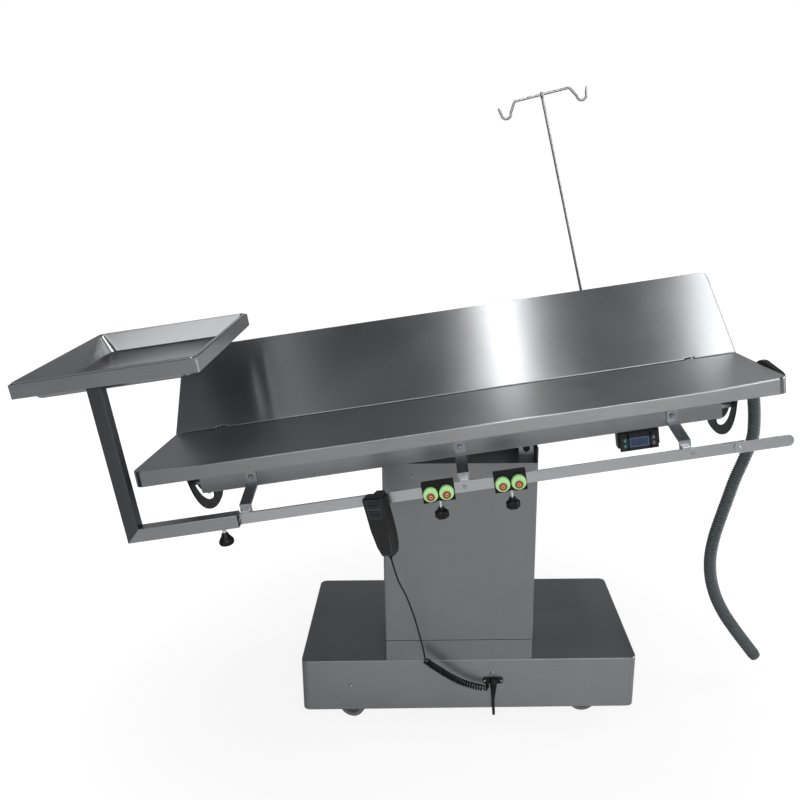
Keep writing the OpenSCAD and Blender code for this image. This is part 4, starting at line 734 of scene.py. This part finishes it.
# ---- Sector plates and hinge hardware ----
# Slotted quadrants of laser-cut steel, blackened, ride on studs and hold each panel at its angle.
# The hinge lugs that reach round the pin are zinc-plated.
def drawn_out(bm, push):
    """Gives the flat faces of a bmesh their thickness along one vector."""
    made = bmesh.ops.extrude_face_region(bm, geom=bm.faces[:])["geom"]
    bmesh.ops.translate(bm, verts=[g for g in made if isinstance(g, bmesh.types.BMVert)], vec=push)


def slab(outline, push):
    bm = bmesh.new()
    bmesh.ops.contextual_create(bm, geom=[bm.verts.new(p) for p in outline])
    drawn_out(bm, push)
    bmesh.ops.recalc_face_normals(bm, faces=bm.faces)
    return bm


def quadrant(x, half=.002):
    """A plate round the hinge's axis, with a slot of 16 mm at a radius of 158 mm for its stud."""
    plate_end, slot_top, slot_foot = (arc(0, 0, r, [a])[0] for r, a in (
        (.160, -104), (.158, -28), (.158, -84)))
    outline = (arc(0, 0, .190, range(-12, -105, -4)) + arc(*plate_end, .0298, range(-119, -284, -15))
               + arc(0, 0, .130, range(-104, -23, 4))
               + [(.128, -.060), (.128, .005), (.186, .005), (.186, -.0395)])
    slot = (arc(0, 0, .166, range(-84, -27, 4)) + arc(*slot_top, .008, range(-8, 152, 20))
            + arc(0, 0, .150, range(-28, -85, -4)) + arc(*slot_foot, .008, range(116, 276, 20)))
    bm = bmesh.new()
    loops = []
    for points in (outline, slot):
        ring = [bm.verts.new((x - half, u, v)) for u, v in points]
        loops += [bm.edges.new((a, b)) for a, b in zip(ring, ring[1:] + ring[:1])]
    bmesh.ops.triangle_fill(bm, use_beauty=True, use_dissolve=False, edges=loops)
    drawn_out(bm, (2 * half, 0, 0))
    bmesh.ops.dissolve_limit(bm, angle_limit=math.radians(1), verts=bm.verts, edges=bm.edges)
    bmesh.ops.recalc_face_normals(bm, faces=bm.faces)
    return bm


def joined(parts):
    """Joins bmeshes of one welded or moulded piece."""
    whole = bmesh.new()
    for bm in parts:
        scrap = bpy.data.meshes.new("scrap")
        bm.to_mesh(scrap)
        bm.free()
        whole.from_mesh(scrap)
        bpy.data.meshes.remove(scrap)
    return whole


def eye_lug(x):
    """A lug of plate, bent round the hinge pin."""
    points = arc(0, 0, .007, range(60, 271, 15)) + [(.030, -.006), (.030, .0047), (.0052, .0047)]
    return slab([(x - .002, u, v) for u, v in points], (.004, 0, 0))


for side, at, x in (("front", front_at, .640), ("rear", rear_at, .652)):
    piece(side + "_sector_plates", joined([quadrant(-x), quadrant(x)]), black_oxide, side + "_panel",
          side + "_sectors", place=at, slot="dark_steel")
for side, at, x in (("front", front_at, .583), ("rear", rear_at, .595)):
    piece(side + "_hinge_lugs", joined([eye_lug(-x), eye_lug(x)]), zinc_plate, side + "_panel", place=at)


# ---- Accessory rails ----
# Flat stainless bars, 25 by 6, on folded hangers, held by countersunk screws from the front. A
# round-ended link is riveted to the front one's right end, and the rear one is rounded off.
rail_steel = brushed("bright_drawn_rail", ("#c4c6c8", "#d4d6d8"), 0.24, 0.8, 0)
rail_z, rail_half, front_face, bracket_xs = -.1295, .0125, -.347, (-.479, -.004, .476)


def flat_bar(y0, y1, left, right, round_left=False, round_right=True):
    """A length of rail between two depths, with square or half-round ends."""
    right_mid, left_mid = right - rail_half * round_right, left + rail_half * round_left
    points = [(right_mid, -.142)]
    points += arc(right_mid, rail_z, rail_half, range(-75, 76, 15) if round_right else ())
    points += [(right_mid, -.117), (left_mid, -.117)]
    points += arc(left_mid, rail_z, rail_half, range(105, 256, 15) if round_left else ())
    points += [(left_mid, -.142)]
    bm = slab([(u, y0, v) for u, v in points], (0, y1 - y0, 0))
    ease(bm, [e for e in bm.edges if len(e.link_faces) == 2 and e.calc_face_angle() > 1.2], .0007, 2)
    return bm


piece("accessory_rails", joined([flat_bar(front_face, -.341, -.700, .6025, round_right=False),
                                 flat_bar(-.3513, -.3473, .5775, .706, round_left=True),
                                 flat_bar(.315, .321, -.700, .706)]),
      rail_steel, "tilt_frame", "side_rails", place=tilted, slot="steel")
rivet = turned([(.0001, .0020), (.0022, .0018), (.0038, .0011), (.0045, .0002), (.0045, -.0004),
                (.0001, -.0004)], 28, close=False)
piece("link_rivet", rivet, screw_steel, "tilt_frame",
      place=tilted @ shift(.590, -.3513, rail_z) @ spin(90, "X"))
# The hangers' toes, bent over the rail, are made in the brighter screw steel: a painted highlight on the
# bend.
highlit_toes = bars([((x - .0105, -.3515, -.1165), (x + .0105, -.339, -.1095)) for x in bracket_xs], .0024, 4)
piece("hanger_toes_painted_highlight", highlit_toes, screw_steel, "tilt_frame", place=tilted)
for side, y, facing in (("front", front_face, -1), ("rear", .321, 1)):
    heads = [tilted @ Vector((x, y, rail_z)) for x in (-.495, -.004, .490)]
    screws("rail_screws_" + side, heads, (0, facing, 0), .0045, screw_steel, "tilt_frame")
bolts = [tilted @ Vector((x, -.248, -.072)) for x in bracket_xs]
screws("beam_bolts", bolts, (0, -1, 0), .006, screw_steel, "tilt_frame")


# ---- Instrument tray ----
# A frame of mitred stainless angle on a welded arm of square tube that slips over the rail. The
# upright's grain runs upwards, and its steel is a darker copy of the arm's: painted shade for the
# dark reflection it shows. The pan is pressed of thin polished sheet and lies loose in the frame,
# with its rolled rim just above the angle's edge.
arm_steel = brushed("satin_tray_arm", ("#a8aaac", "#b8babc"), 0.28, 0.7, 0)
# The upright's darker tones are painted shade, a dark reflection laid into its colour.
upright_painted_dark_steel = brushed("satin_upright_painted_dark", ("#585a5c", "#686a6c"), 0.30, 0.7, 2)
tube, tube_foot, mitre_offset = .030, -.1445, -.5955
heel, crook = (-.740, tube_foot), (-.710, tube_foot + tube)
for name, look, points in (("tray_arm_tube", arm_steel, [heel, (-.497, tube_foot), (-.497, -.1145), crook]),
                           ("tray_upright_tube", upright_painted_dark_steel, [heel, crook, (-.710, .206), (-.740, .206)])):
    leg = slab([(u, -.359, v) for u, v in points], (0, tube, 0))
    mitre = [e for e in leg.edges if all(abs(v.co.x - v.co.z - mitre_offset) < 1e-5 for v in e.verts)]
    ease(leg, [e for e in leg.edges if e not in mitre and span(e, 1) < .02], .0028, 3)
    piece(name, leg, look, "tray", "tray_arm", place=tilted, slot="steel")
mouth = bars([((-.4985, -.3575, -.1430), (-.4965, -.3305, -.1160))], .0005, 1)
piece("tray_arm_mouth", mouth, nylon, "tray", place=tilted)


def walls(bm, rings, closed=False):
    """Fills the faces between neighbouring rings of corners."""
    for a, b in zip(rings, rings[1:] + (rings[:1] if closed else [])):
        for i in range(len(a)):
            bm.faces.new((a[i], a[(i + 1) % len(a)], b[(i + 1) % len(a)], b[i]))


frame_bm = bmesh.new()
angle_section = [(0, 0), (0, .030), (.003, .030), (.003, .003), (.022, .003), (.022, 0)]
corners = [(-.895, -.359, 1, 1), (-.504, -.359, -1, 1), (-.504, .148, -1, -1), (-.895, .148, 1, -1)]
walls(frame_bm, [[frame_bm.verts.new((x + sx * inset, y + sy * inset, .206 + z))
                  for x, y, sx, sy in corners] for inset, z in angle_section], closed=True)
bmesh.ops.recalc_face_normals(frame_bm, faces=frame_bm.faces)
ease(frame_bm, [e for e in frame_bm.edges if abs(span(e, 2) - .030) < 1e-6], .005, 5)
piece("tray_frame_angle", frame_bm, arm_steel, "tray", "tray_frame", place=tilted, slot="steel")
pan_steel = brushed("polished_tray_pan", ("#b8babc", "#c6c8ca"), 0.13, 1.4, 1, 0, 0.07)


def rounded(w, d, r, z, count=8):
    """A rectangle of one width and depth with rounded corners, at one height."""
    points = []
    for quarter, (sx, sy) in enumerate(((1, 1), (-1, 1), (-1, -1), (1, -1))):
        angles = [90 * (quarter + k / count) for k in range(count + 1)]
        points += arc(sx * (w / 2 - r), sy * (d / 2 - r), r, angles)
    return [(x, y, z) for x, y in points]


pan_bm = bmesh.new()
steps = [(.3835, .4985, .009, .0425), (.3840, .4990, .009, .0450), (.3825, .4975, .009, .0468),
         (.3795, .4945, .009, .0474), (.3755, .4905, .010, .0472), (.3730, .4880, .010, .0458),
         (.3715, .4865, .010, .0430), (.3420, .4570, .018, .0165), (.3265, .4415, .019, .0032),
         (.3235, .4385, .018, .0016), (.3195, .4345, .016, .0010), (.250, .366, .012, .0007)]
pan_rings = [[pan_bm.verts.new(p) for p in rounded(*s)] for s in steps]
walls(pan_bm, pan_rings)
pan_bm.faces.new(pan_rings[-1])
piece("tray_pan_pressing", sheet(pan_bm, .0008), pan_steel, "tray_pan", "tray_pan",
      place=tilted @ shift(-.6995, -.1055, .1925), smooth=35, slot="bright_steel")
bell = [(.0001, 0), (.009, 0), (.0118, .0004), (.0145, .0018), (.0160, .0045), (.0165, .0080), (.0158, .0112),
        (.0140, .0145), (.0114, .0178), (.0092, .0212), (.0078, .0245), (.0070, .0272), (.0062, .0280),
        (.0001, .0280)]
knob_at = tilted @ shift(-.535, -.344, -.1845)
piece("tray_bell_knob", turned(bell, 32, close=False), nylon, "tray_knob", "tray_knob", place=knob_at,
      smooth=40, slot="black_plastic")


def threaded(radius, low, high, pitch=.00125):
    """A clamp screw's shank with its rolled thread."""
    rows = [(.0001, low)]
    for k in range(int((high - low) / pitch)):
        z = low + k * pitch
        rows += [(radius * .88, z), (radius, z + pitch * .4), (radius, z + pitch * .6)]
    return turned(rows + [(radius * .88, high), (.0001, high)], 20, close=False)


thread_zinc = plated("bright_zinc_thread", "#e6e8ea", 0.5, "#f4f5f6")
piece("tray_clamp_screw", threaded(.0039, .0279, .0425), thread_zinc, "tray_knob", place=knob_at, smooth=20)


# ---- Rope cleats ----
# Two black moulded cleats hook over the front rail. Each holds a rope between two pale green
# polyurethane cams on copper-coloured pins with pale rivets, and clamps with a lobed knob below.
def polyurethane(name, tone, rough):
    """Cast polyurethane: even, slightly translucent, with a waxy sheen and faint mould flow."""
    made, tree = material(name)
    spot = add(tree, "TexCoord").outputs["Object"]
    flow = add(tree, "TexNoise", Vector=spot, Scale=90.0, Detail=3.0, Distortion=0.6)
    tint = add(tree, "Mix", {"data_type": "RGBA"}, Factor=flow, _6=linear(tone[0]), _7=linear(tone[1]))
    bump = add(tree, "Bump", Strength=0.1, Distance=0.0002, Height=flow)
    add(tree, "OutputMaterial", Surface=add(
        tree, "BsdfPrincipled", Base_Color=tint, Roughness=rough, IOR=1.5, Normal=bump))
    return made


green_roller = polyurethane("pale_green_polyurethane", ("#aff09a", "#c8f8b4"), 0.42)
copper_pin = plated("copper_plated_pin", "#a8613c", 0.34, "#b8704a")
rivet_copper = plated("bright_copper_rivet", "#dca184", 0.4, "#e8b39a")
shell_plastic = polymer("cleat_black_nylon", "#0a0b0b", 0.42, "#121314", 1.3)


def lobed(radius, height, lobes=6, dip=.0032, steps=72):
    """A hand knob moulded with rounded lobes, domed above and with a neck below."""
    bm = bmesh.new()
    wave = [1 - dip / radius * (0.5 - 0.5 * math.cos(lobes * 2 * math.pi * k / steps)) for k in range(steps)]
    rows = [(0.50, 0, 0), (0.86, 0, 0.4), (0.97, .0012, 1), (1.0, .0040, 1), (1.0, height * .55, 1),
            (0.95, height * .64, 1), (0.80, height * .72, .6), (0.52, height * .80, 0), (0.46, height, 0)]
    rings = [[bm.verts.new((*arc(0, 0, radius * scale * (1 + (dent - 1) * share), [360 * k / steps])[0], z))
              for k, dent in enumerate(wave)] for scale, z, share in rows]
    walls(bm, rings)
    bm.faces.new(rings[0])
    bm.faces.new(rings[-1])
    bmesh.ops.recalc_face_normals(bm, faces=bm.faces)
    return bm


cam_gap, cam_face, cam_z, pin_z, screw_y = .0173, -.3516, -.132, -.1355, -.344
for side, cx, drop in (("left", -.062, .0459), ("right", .094, .0468)):
    body = "cleat_" + side
    plate = bars([((cx - .035, -.3513, -.152), (cx + .035, -.3473, -.107)),
                  ((cx - .035, -.3493, -.1167), (cx + .035, -.3377, -.107)),
                  ((cx - .035, -.3407, -.125), (cx + .035, -.3377, -.115)),
                  ((cx - .009, -.3483, -.152), (cx + .009, -.334, -.1423))], .0011)
    piece(body + "_moulding", plate, shell_plastic, body, body, place=tilted, slot="black_plastic")
    lip = bars([((cx - .035, -.3543, -.1095), (cx + .035, -.3505, -.1068)),
                ((cx - .035, -.3543, -.1525), (cx - .008, -.3505, -.1500)),
                ((cx + .008, -.3543, -.1525), (cx + .035, -.3505, -.1500))], .0006)
    piece(body + "_lips", lip, shell_plastic, body, place=tilted)
    for n, s in ((1, -1), (2, 1)):
        cam = body + "_cam_%d" % n
        at = tilted @ shift(cx + s * cam_gap, cam_face, cam_z) @ spin(90, "X")
        piece(cam + "_roller", turned([(.0001, 0), (.0148, 0), (.0157, .0008), (.0160, .0022), (.0160, .0098),
                                       (.0156, .0110), (.0146, .0117), (.0001, .0117)], 44, close=False),
              green_roller, cam, cam, place=at, slot="pale_green")
        at = tilted @ shift(cx + s * cam_gap, cam_face, pin_z) @ spin(90, "X")
        piece(body + "_pin_%d" % n, turned([(.0001, .0138), (.0070, .0138), (.0085, .0136), (.0090, .0130),
                                            (.0090, .0119), (.0001, .0119)], 30, close=False),
              copper_pin, body, place=at)
        piece(body + "_rivet_%d" % n, turned([(.0014, .0136), (.0015, .0146), (.0034, .0149), (.0042, .0144),
                                              (.0043, .0136)], 28), rivet_copper, body, place=at)
        # A black disc in each rivet's hole stands for the dark inside of the hole: painted shade.
        piece(body + "_rivet_bore_%d" % n, turned([(.0001, .0141), (.0013, .0141), (.0013, .0136),
                                                   (.0001, .0136)], 16, close=False),
              shell_plastic, body, place=at)
    at = tilted @ shift(cx, screw_y, rail_z - drop - .018)
    knob = body + "_knob"
    piece(body + "_clamp_screw", threaded(.0030, .0200, drop + .0045), thread_zinc, knob, place=at, smooth=20)
    piece(body + "_lobed_knob", lobed(.0155, .0240), nylon, knob, knob, place=at, smooth=38,
          slot="black_plastic")


# ---- Handset ----
# A black ABS handset hangs on the rail by its own hook. The case tapers to the cord and is
# textured from the mould, with four wide keys in two framed pairs under a thin outline.
def textured_abs(name, tone, rough, grain_mm):
    """ABS with a spark-eroded mould texture: dense, with soft broad reflections. A real texture is
    too fine to show, so its grains are drawn 0.6 to 0.9 mm across."""
    made, tree = material(name)
    spot = add(tree, "TexCoord").outputs["Object"]
    grain = add(tree, "TexVoronoi", Vector=spot, Scale=1000 / grain_mm)
    rub = add(tree, "TexNoise", Vector=spot, Scale=30.0, Detail=4.0)
    gloss = add(tree, "MapRange", Value=rub, To_Min=rough - 0.08, To_Max=rough + 0.08)
    tint = add(tree, "Mix", {"data_type": "RGBA"}, Factor=rub, _6=linear(tone[0]), _7=linear(tone[1]))
    bump = add(tree, "Bump", Strength=0.18, Distance=0.0002, Height=grain)
    add(tree, "OutputMaterial", Surface=add(
        tree, "BsdfPrincipled", Base_Color=tint, Roughness=gloss, IOR=1.53, Normal=bump))
    return made


case_abs = textured_abs("handset_black_abs", ("#050606", "#090a0b"), 0.36, 0.6)
key_abs = textured_abs("handset_key_abs", ("#15161a", "#1c1d21"), 0.3, 0.8)
trim_grey = textured_abs("handset_grey_print", ("#5c6166", "#6d7278"), 0.45, 0.9)
w, l, case_depth, yaw, lean = .025, .138, .028, -24, -4.5
hung_y = front_face - .0003 - w * math.sin(math.radians(-yaw))
held = tilted @ shift(-.192, hung_y, -.111) @ spin(lean, "Y") @ spin(yaw, "Z") @ shift(0, -case_depth, 0)
handset_plan = [(-w + .003, 0), (w - .003, 0), (w, -.004), (w, -l * .62), (w - .003, -l * .85),
                (w - .009, -l), (-w + .013, -l), (-w + .006, -l * .85), (-w + .001, -l * .55), (-w, -.004)]
shell = slab([(u, 0, v) for u, v in handset_plan], (0, case_depth, 0))
ease(shell, [e for e in shell.edges if all(v.co.y < .001 for v in e.verts)], .0042, 5)
ease(shell, [e for e in shell.edges if all(v.co.y > .027 for v in e.verts)], .0015, 3)
hook = bars([((-.010, .025, -.0049), (.010, .0453, -.0009)),
             ((-.010, .0416, -.0189), (.010, .0456, -.0009))], .0012)
piece("handset_case", joined([shell, hook]), case_abs, "handset", "handset", place=held, smooth=35,
      slot="black_plastic")
sleeve_rows = [(.0001, .002)]
for k in range(7):
    r, z = .0050 - .00033 * k, -.0021 * k
    sleeve_rows += [(r, z + .002), (r, z + .0007), (r - .0008, z + .0005), (r - .0008, z + .0001)]
sleeve_rows += [(.0024, -.0132), (.0001, -.0132)]
piece("handset_sleeve", turned(sleeve_rows, 20, close=False), cord_rubber, "handset",
      place=held @ shift(.001, case_depth / 2, -l))
for n, z in enumerate((-.010, -.019, -.032, -.041), 1):
    key = bars([((-.0135, -.0012, z - .00375), (.0135, .0015, z + .00375))], .0011)
    button = "handset_button_%d" % n
    piece("handset_key_%d" % n, key, key_abs, button, button, place=held, slot="black_plastic")


def frame_line(u0, u1, v0, v1, t=.0006, y=-.0003):
    """The printed rectangle round two keys."""
    return bars([((u0, y, v1 - t), (u1, .0004, v1)), ((u0, y, v0), (u1, .0004, v0 + t)),
                 ((u0, y, v0), (u0 + t, .0004, v1)), ((u1 - t, y, v0), (u1, .0004, v1))], .0001, 1)


lines = joined([frame_line(-.0158, .0158, -.0248, -.0046), frame_line(-.0158, .0158, -.0470, -.0266)])
piece("handset_print_frames", lines, trim_grey, "handset", place=held)
edge_line = spline([(u * .80, -.0001, v * .93 - .0030) for u, v in handset_plan[3:8]], 4)
piece("handset_print_line", sweep(edge_line, [.0004] * len(edge_line), 6), trim_grey, "handset", place=held)


# ---- Thermostat ----
# A panel-mounted temperature controller in black ABS under the front beam. A clear window
# covers a blue liquid-crystal display, with two soft keys at each side.
bezel = bars([((.3545, -.249, -.141), (.3765, -.241, -.099)), ((.4205, -.249, -.141), (.4415, -.241, -.099)),
              ((.370, -.249, -.141), (.427, -.241, -.1327)), ((.370, -.249, -.1113), (.427, -.241, -.099)),
              ((.3595, -.243, -.137), (.4365, -.185, -.103)),
              ((.3505, -.241, -.135), (.4455, -.215, -.097))], .0012)
piece("thermostat_case", bezel, case_abs, "tilt_frame", "thermostat", place=tilted, slot="black_plastic")


def display(name):
    """Blue-grey liquid-crystal glass: a deep polariser with a lit rim. Its real cells are too fine
    to show, so they are drawn 0.7 mm wide."""
    made, tree = material(name)
    uv = add(tree, "UVMap", {"uv_map": "screen"})
    split = add(tree, "SeparateXYZ", Vector=uv)
    edge_u = add(tree, "Math", {"operation": "PINGPONG"}, _0=split.outputs["X"], _1=0.5)
    edge_v = add(tree, "Math", {"operation": "PINGPONG"}, _0=split.outputs["Y"], _1=0.5)
    glow_u = add(tree, "Math", {"operation": "LESS_THAN"}, _0=edge_u, _1=0.045)
    glow_v = add(tree, "Math", {"operation": "LESS_THAN"}, _0=edge_v, _1=0.10)
    rim = add(tree, "Math", {"operation": "MAXIMUM"}, _0=glow_u, _1=glow_v)
    cells = add(tree, "TexNoise", Vector=uv, Scale=60.0, Detail=1.0)
    ground = add(tree, "Mix", {"data_type": "RGBA"}, Factor=cells,
                 _6=linear("#1b2740"), _7=linear("#26344f"))
    tint = add(tree, "Mix", {"data_type": "RGBA"}, Factor=rim, _6=ground, _7=linear("#3d5f8c"))
    add(tree, "OutputMaterial", Surface=add(
        tree, "BsdfPrincipled", Base_Color=tint, Roughness=0.12, IOR=1.5, Emission_Color=tint,
        Emission_Strength=0.18))
    return made


glass = bmesh.new()
wide, high, mid_x, mid_z = .0425, .0216, .3985, -.122
bmesh.ops.create_grid(glass, x_segments=1, y_segments=1, size=0.5, matrix=shift(mid_x, -.2483, mid_z)
                      @ spin(90, "X") @ Matrix.Diagonal((wide, high, 1, 1)))
layer = glass.loops.layers.uv.new("screen")
for face in glass.faces:
    for loop in face.loops:
        loop[layer].uv = ((loop.vert.co.x - mid_x) / wide + 0.5, (loop.vert.co.z - mid_z) / high + 0.5)
bmesh.ops.solidify(glass, geom=glass.faces, thickness=.0004)
piece("thermostat_display", glass, display("liquid_crystal_glass"), "tilt_frame", place=tilted)


def seven(x, z, lit, h=.0105):
    """One seven-bar figure of the display."""
    half, t = h * .25, h * .13
    levels = {"a": h, "g": h / 2, "d": 0}
    posts = {"f": (-1, .5), "b": (1, .5), "e": (-1, 0), "c": (1, 0)}
    spots = [(x - half + t * .6, x + half - t * .6, z + v - t / 2, z + v + t / 2)
             for k, v in levels.items() if k in lit]
    spots += [(x + u * half - t / 2, x + u * half + t / 2, z + v * h + t * .6, z + (v + .5) * h - t * .6)
              for k, (u, v) in posts.items() if k in lit]
    return bars([((x0, -.2489, z0), (x1, -.2484, z1)) for x0, x1, z0, z1 in spots], .0001, 1)


figures = polymer("display_figures", "#3c5068", 0.4, "#485e78", 0.5)
digits = joined([seven(.3875, -.1275, "abgcd"), seven(.3965, -.1275, "abc"), seven(.4070, -.1275, "abcdef"),
                 bars([((.4014, -.2489, -.1280), (.4024, -.2484, -.1270))], .0001, 1)])
piece("display_digits", digits, figures, "tilt_frame", place=tilted)
cyan_key = polymer("cyan_silicone_key", "#3b7f7c", 0.5, "#4a8f8a", 0.8)
grey_key = polymer("grey_silicone_key", "#6d7174", 0.5, "#7b8083", 0.8)
for side, x, look, slot_name in (("left", .3655, cyan_key, "keys_cyan"),
                                 ("right", .4305, grey_key, "keys_grey")):
    keys = "thermostat_keys_" + side
    strip = bars([((x - .003, -.2505, -.119), (x + .003, -.2465, -.111)),
                  ((x - .003, -.2505, -.132), (x + .003, -.2465, -.124)),
                  ((x - .003, -.248, -.128), (x + .003, -.2465, -.115))], .0009)
    piece(keys + "_moulding", strip, look, keys, keys, place=tilted, slot=slot_name)


# ---- Infusion pole ----
# A thin bright rod stands in a clamp on the rear rail. Its crossbar is bent at each end into
# an open hook, and a brazed joint holds it on the rod.
pole_steel = plated("bright_drawn_wire", "#98999b", 0.26, "#a6a8aa")
pole_at = tilted @ shift(.418, .337, rail_z) @ spin(-5.4, "Y")
top_z, wire, pole_radius = .803, .0034, .0040
bar = [(0, 0), (.024, 0), (.048, 0), (.070, 0), (.0733, -.0006), (.0755, -.0024), (.0793, -.0080),
       (.0845, -.0164), (.0891, -.0238)]
bar += arc(.1030, -.0262, -.0126, range(30, 166, 15)) + [(.1166, -.0200), (.1186, -.0130), (.1200, -.0070)]
half_radii = [wire] * (len(bar) - 1) + [.0020]
whole_bar = [Vector((x, 0, top_z + z)) for x, z in [(-x, z) for x, z in bar[:0:-1]] + bar]
bar_bm = sweep(whole_bar, half_radii[:0:-1] + half_radii, 16)
rod_bm = turned([(.0001, -.060), (wire, -.060), (pole_radius, -.0592), (pole_radius, top_z + .005),
                 (wire, top_z + .006), (.0001, top_z + .006)], 24, close=False)
braze = turned([(pole_radius, top_z - .010), (.0048, top_z - .0055), (.0053, top_z), (.0047, top_z + .0045),
                (.0036, top_z + .0062)], 24, close=False)
piece("infusion_pole_rod", joined([rod_bm, bar_bm, braze]), pole_steel, "infusion_pole", "infusion_pole",
      place=pole_at, smooth=40, slot="bright_steel")
carry(black_oxide, "dark_steel", "pole_clamp")
shank = turned([(.0001, .004), (.0030, .004), (.0030, .0275), (.0001, .0275)], 20, close=False)
piece("pole_clamp_knob", joined([lobed(.0130, .0150), shank]), nylon, "pole_knob", "pole_knob",
      place=pole_at @ shift(0, .032, 0) @ spin(90, "X"), smooth=38, slot="black_plastic")


# ---- Lifting grip ----
# A grip moulded of black ABS is screwed to the right end of the front panel, where the hand
# lifts it. Its outer edge is rounded for the fingers.
grip_points = [(.122, -.007), (.124, .001), (.130, .0055), (.148, .0135), (.160, .0178), (.172, .0200),
               (.184, .0204), (.192, .0195), (.225, .0160), (.255, .0130), (.270, .0108), (.277, .0075),
               (.278, -.004)]
grip_bm = slab([(.705, u, v) for u, v in grip_points], (.012, 0, 0))
ease(grip_bm, [e for e in grip_bm.edges if all(v.co.x > .716 for v in e.verts)], .003, 4)
piece("lift_grip_moulding", grip_bm, case_abs, "front_panel", "lift_grip", place=front_at, smooth=35,
      slot="black_plastic")
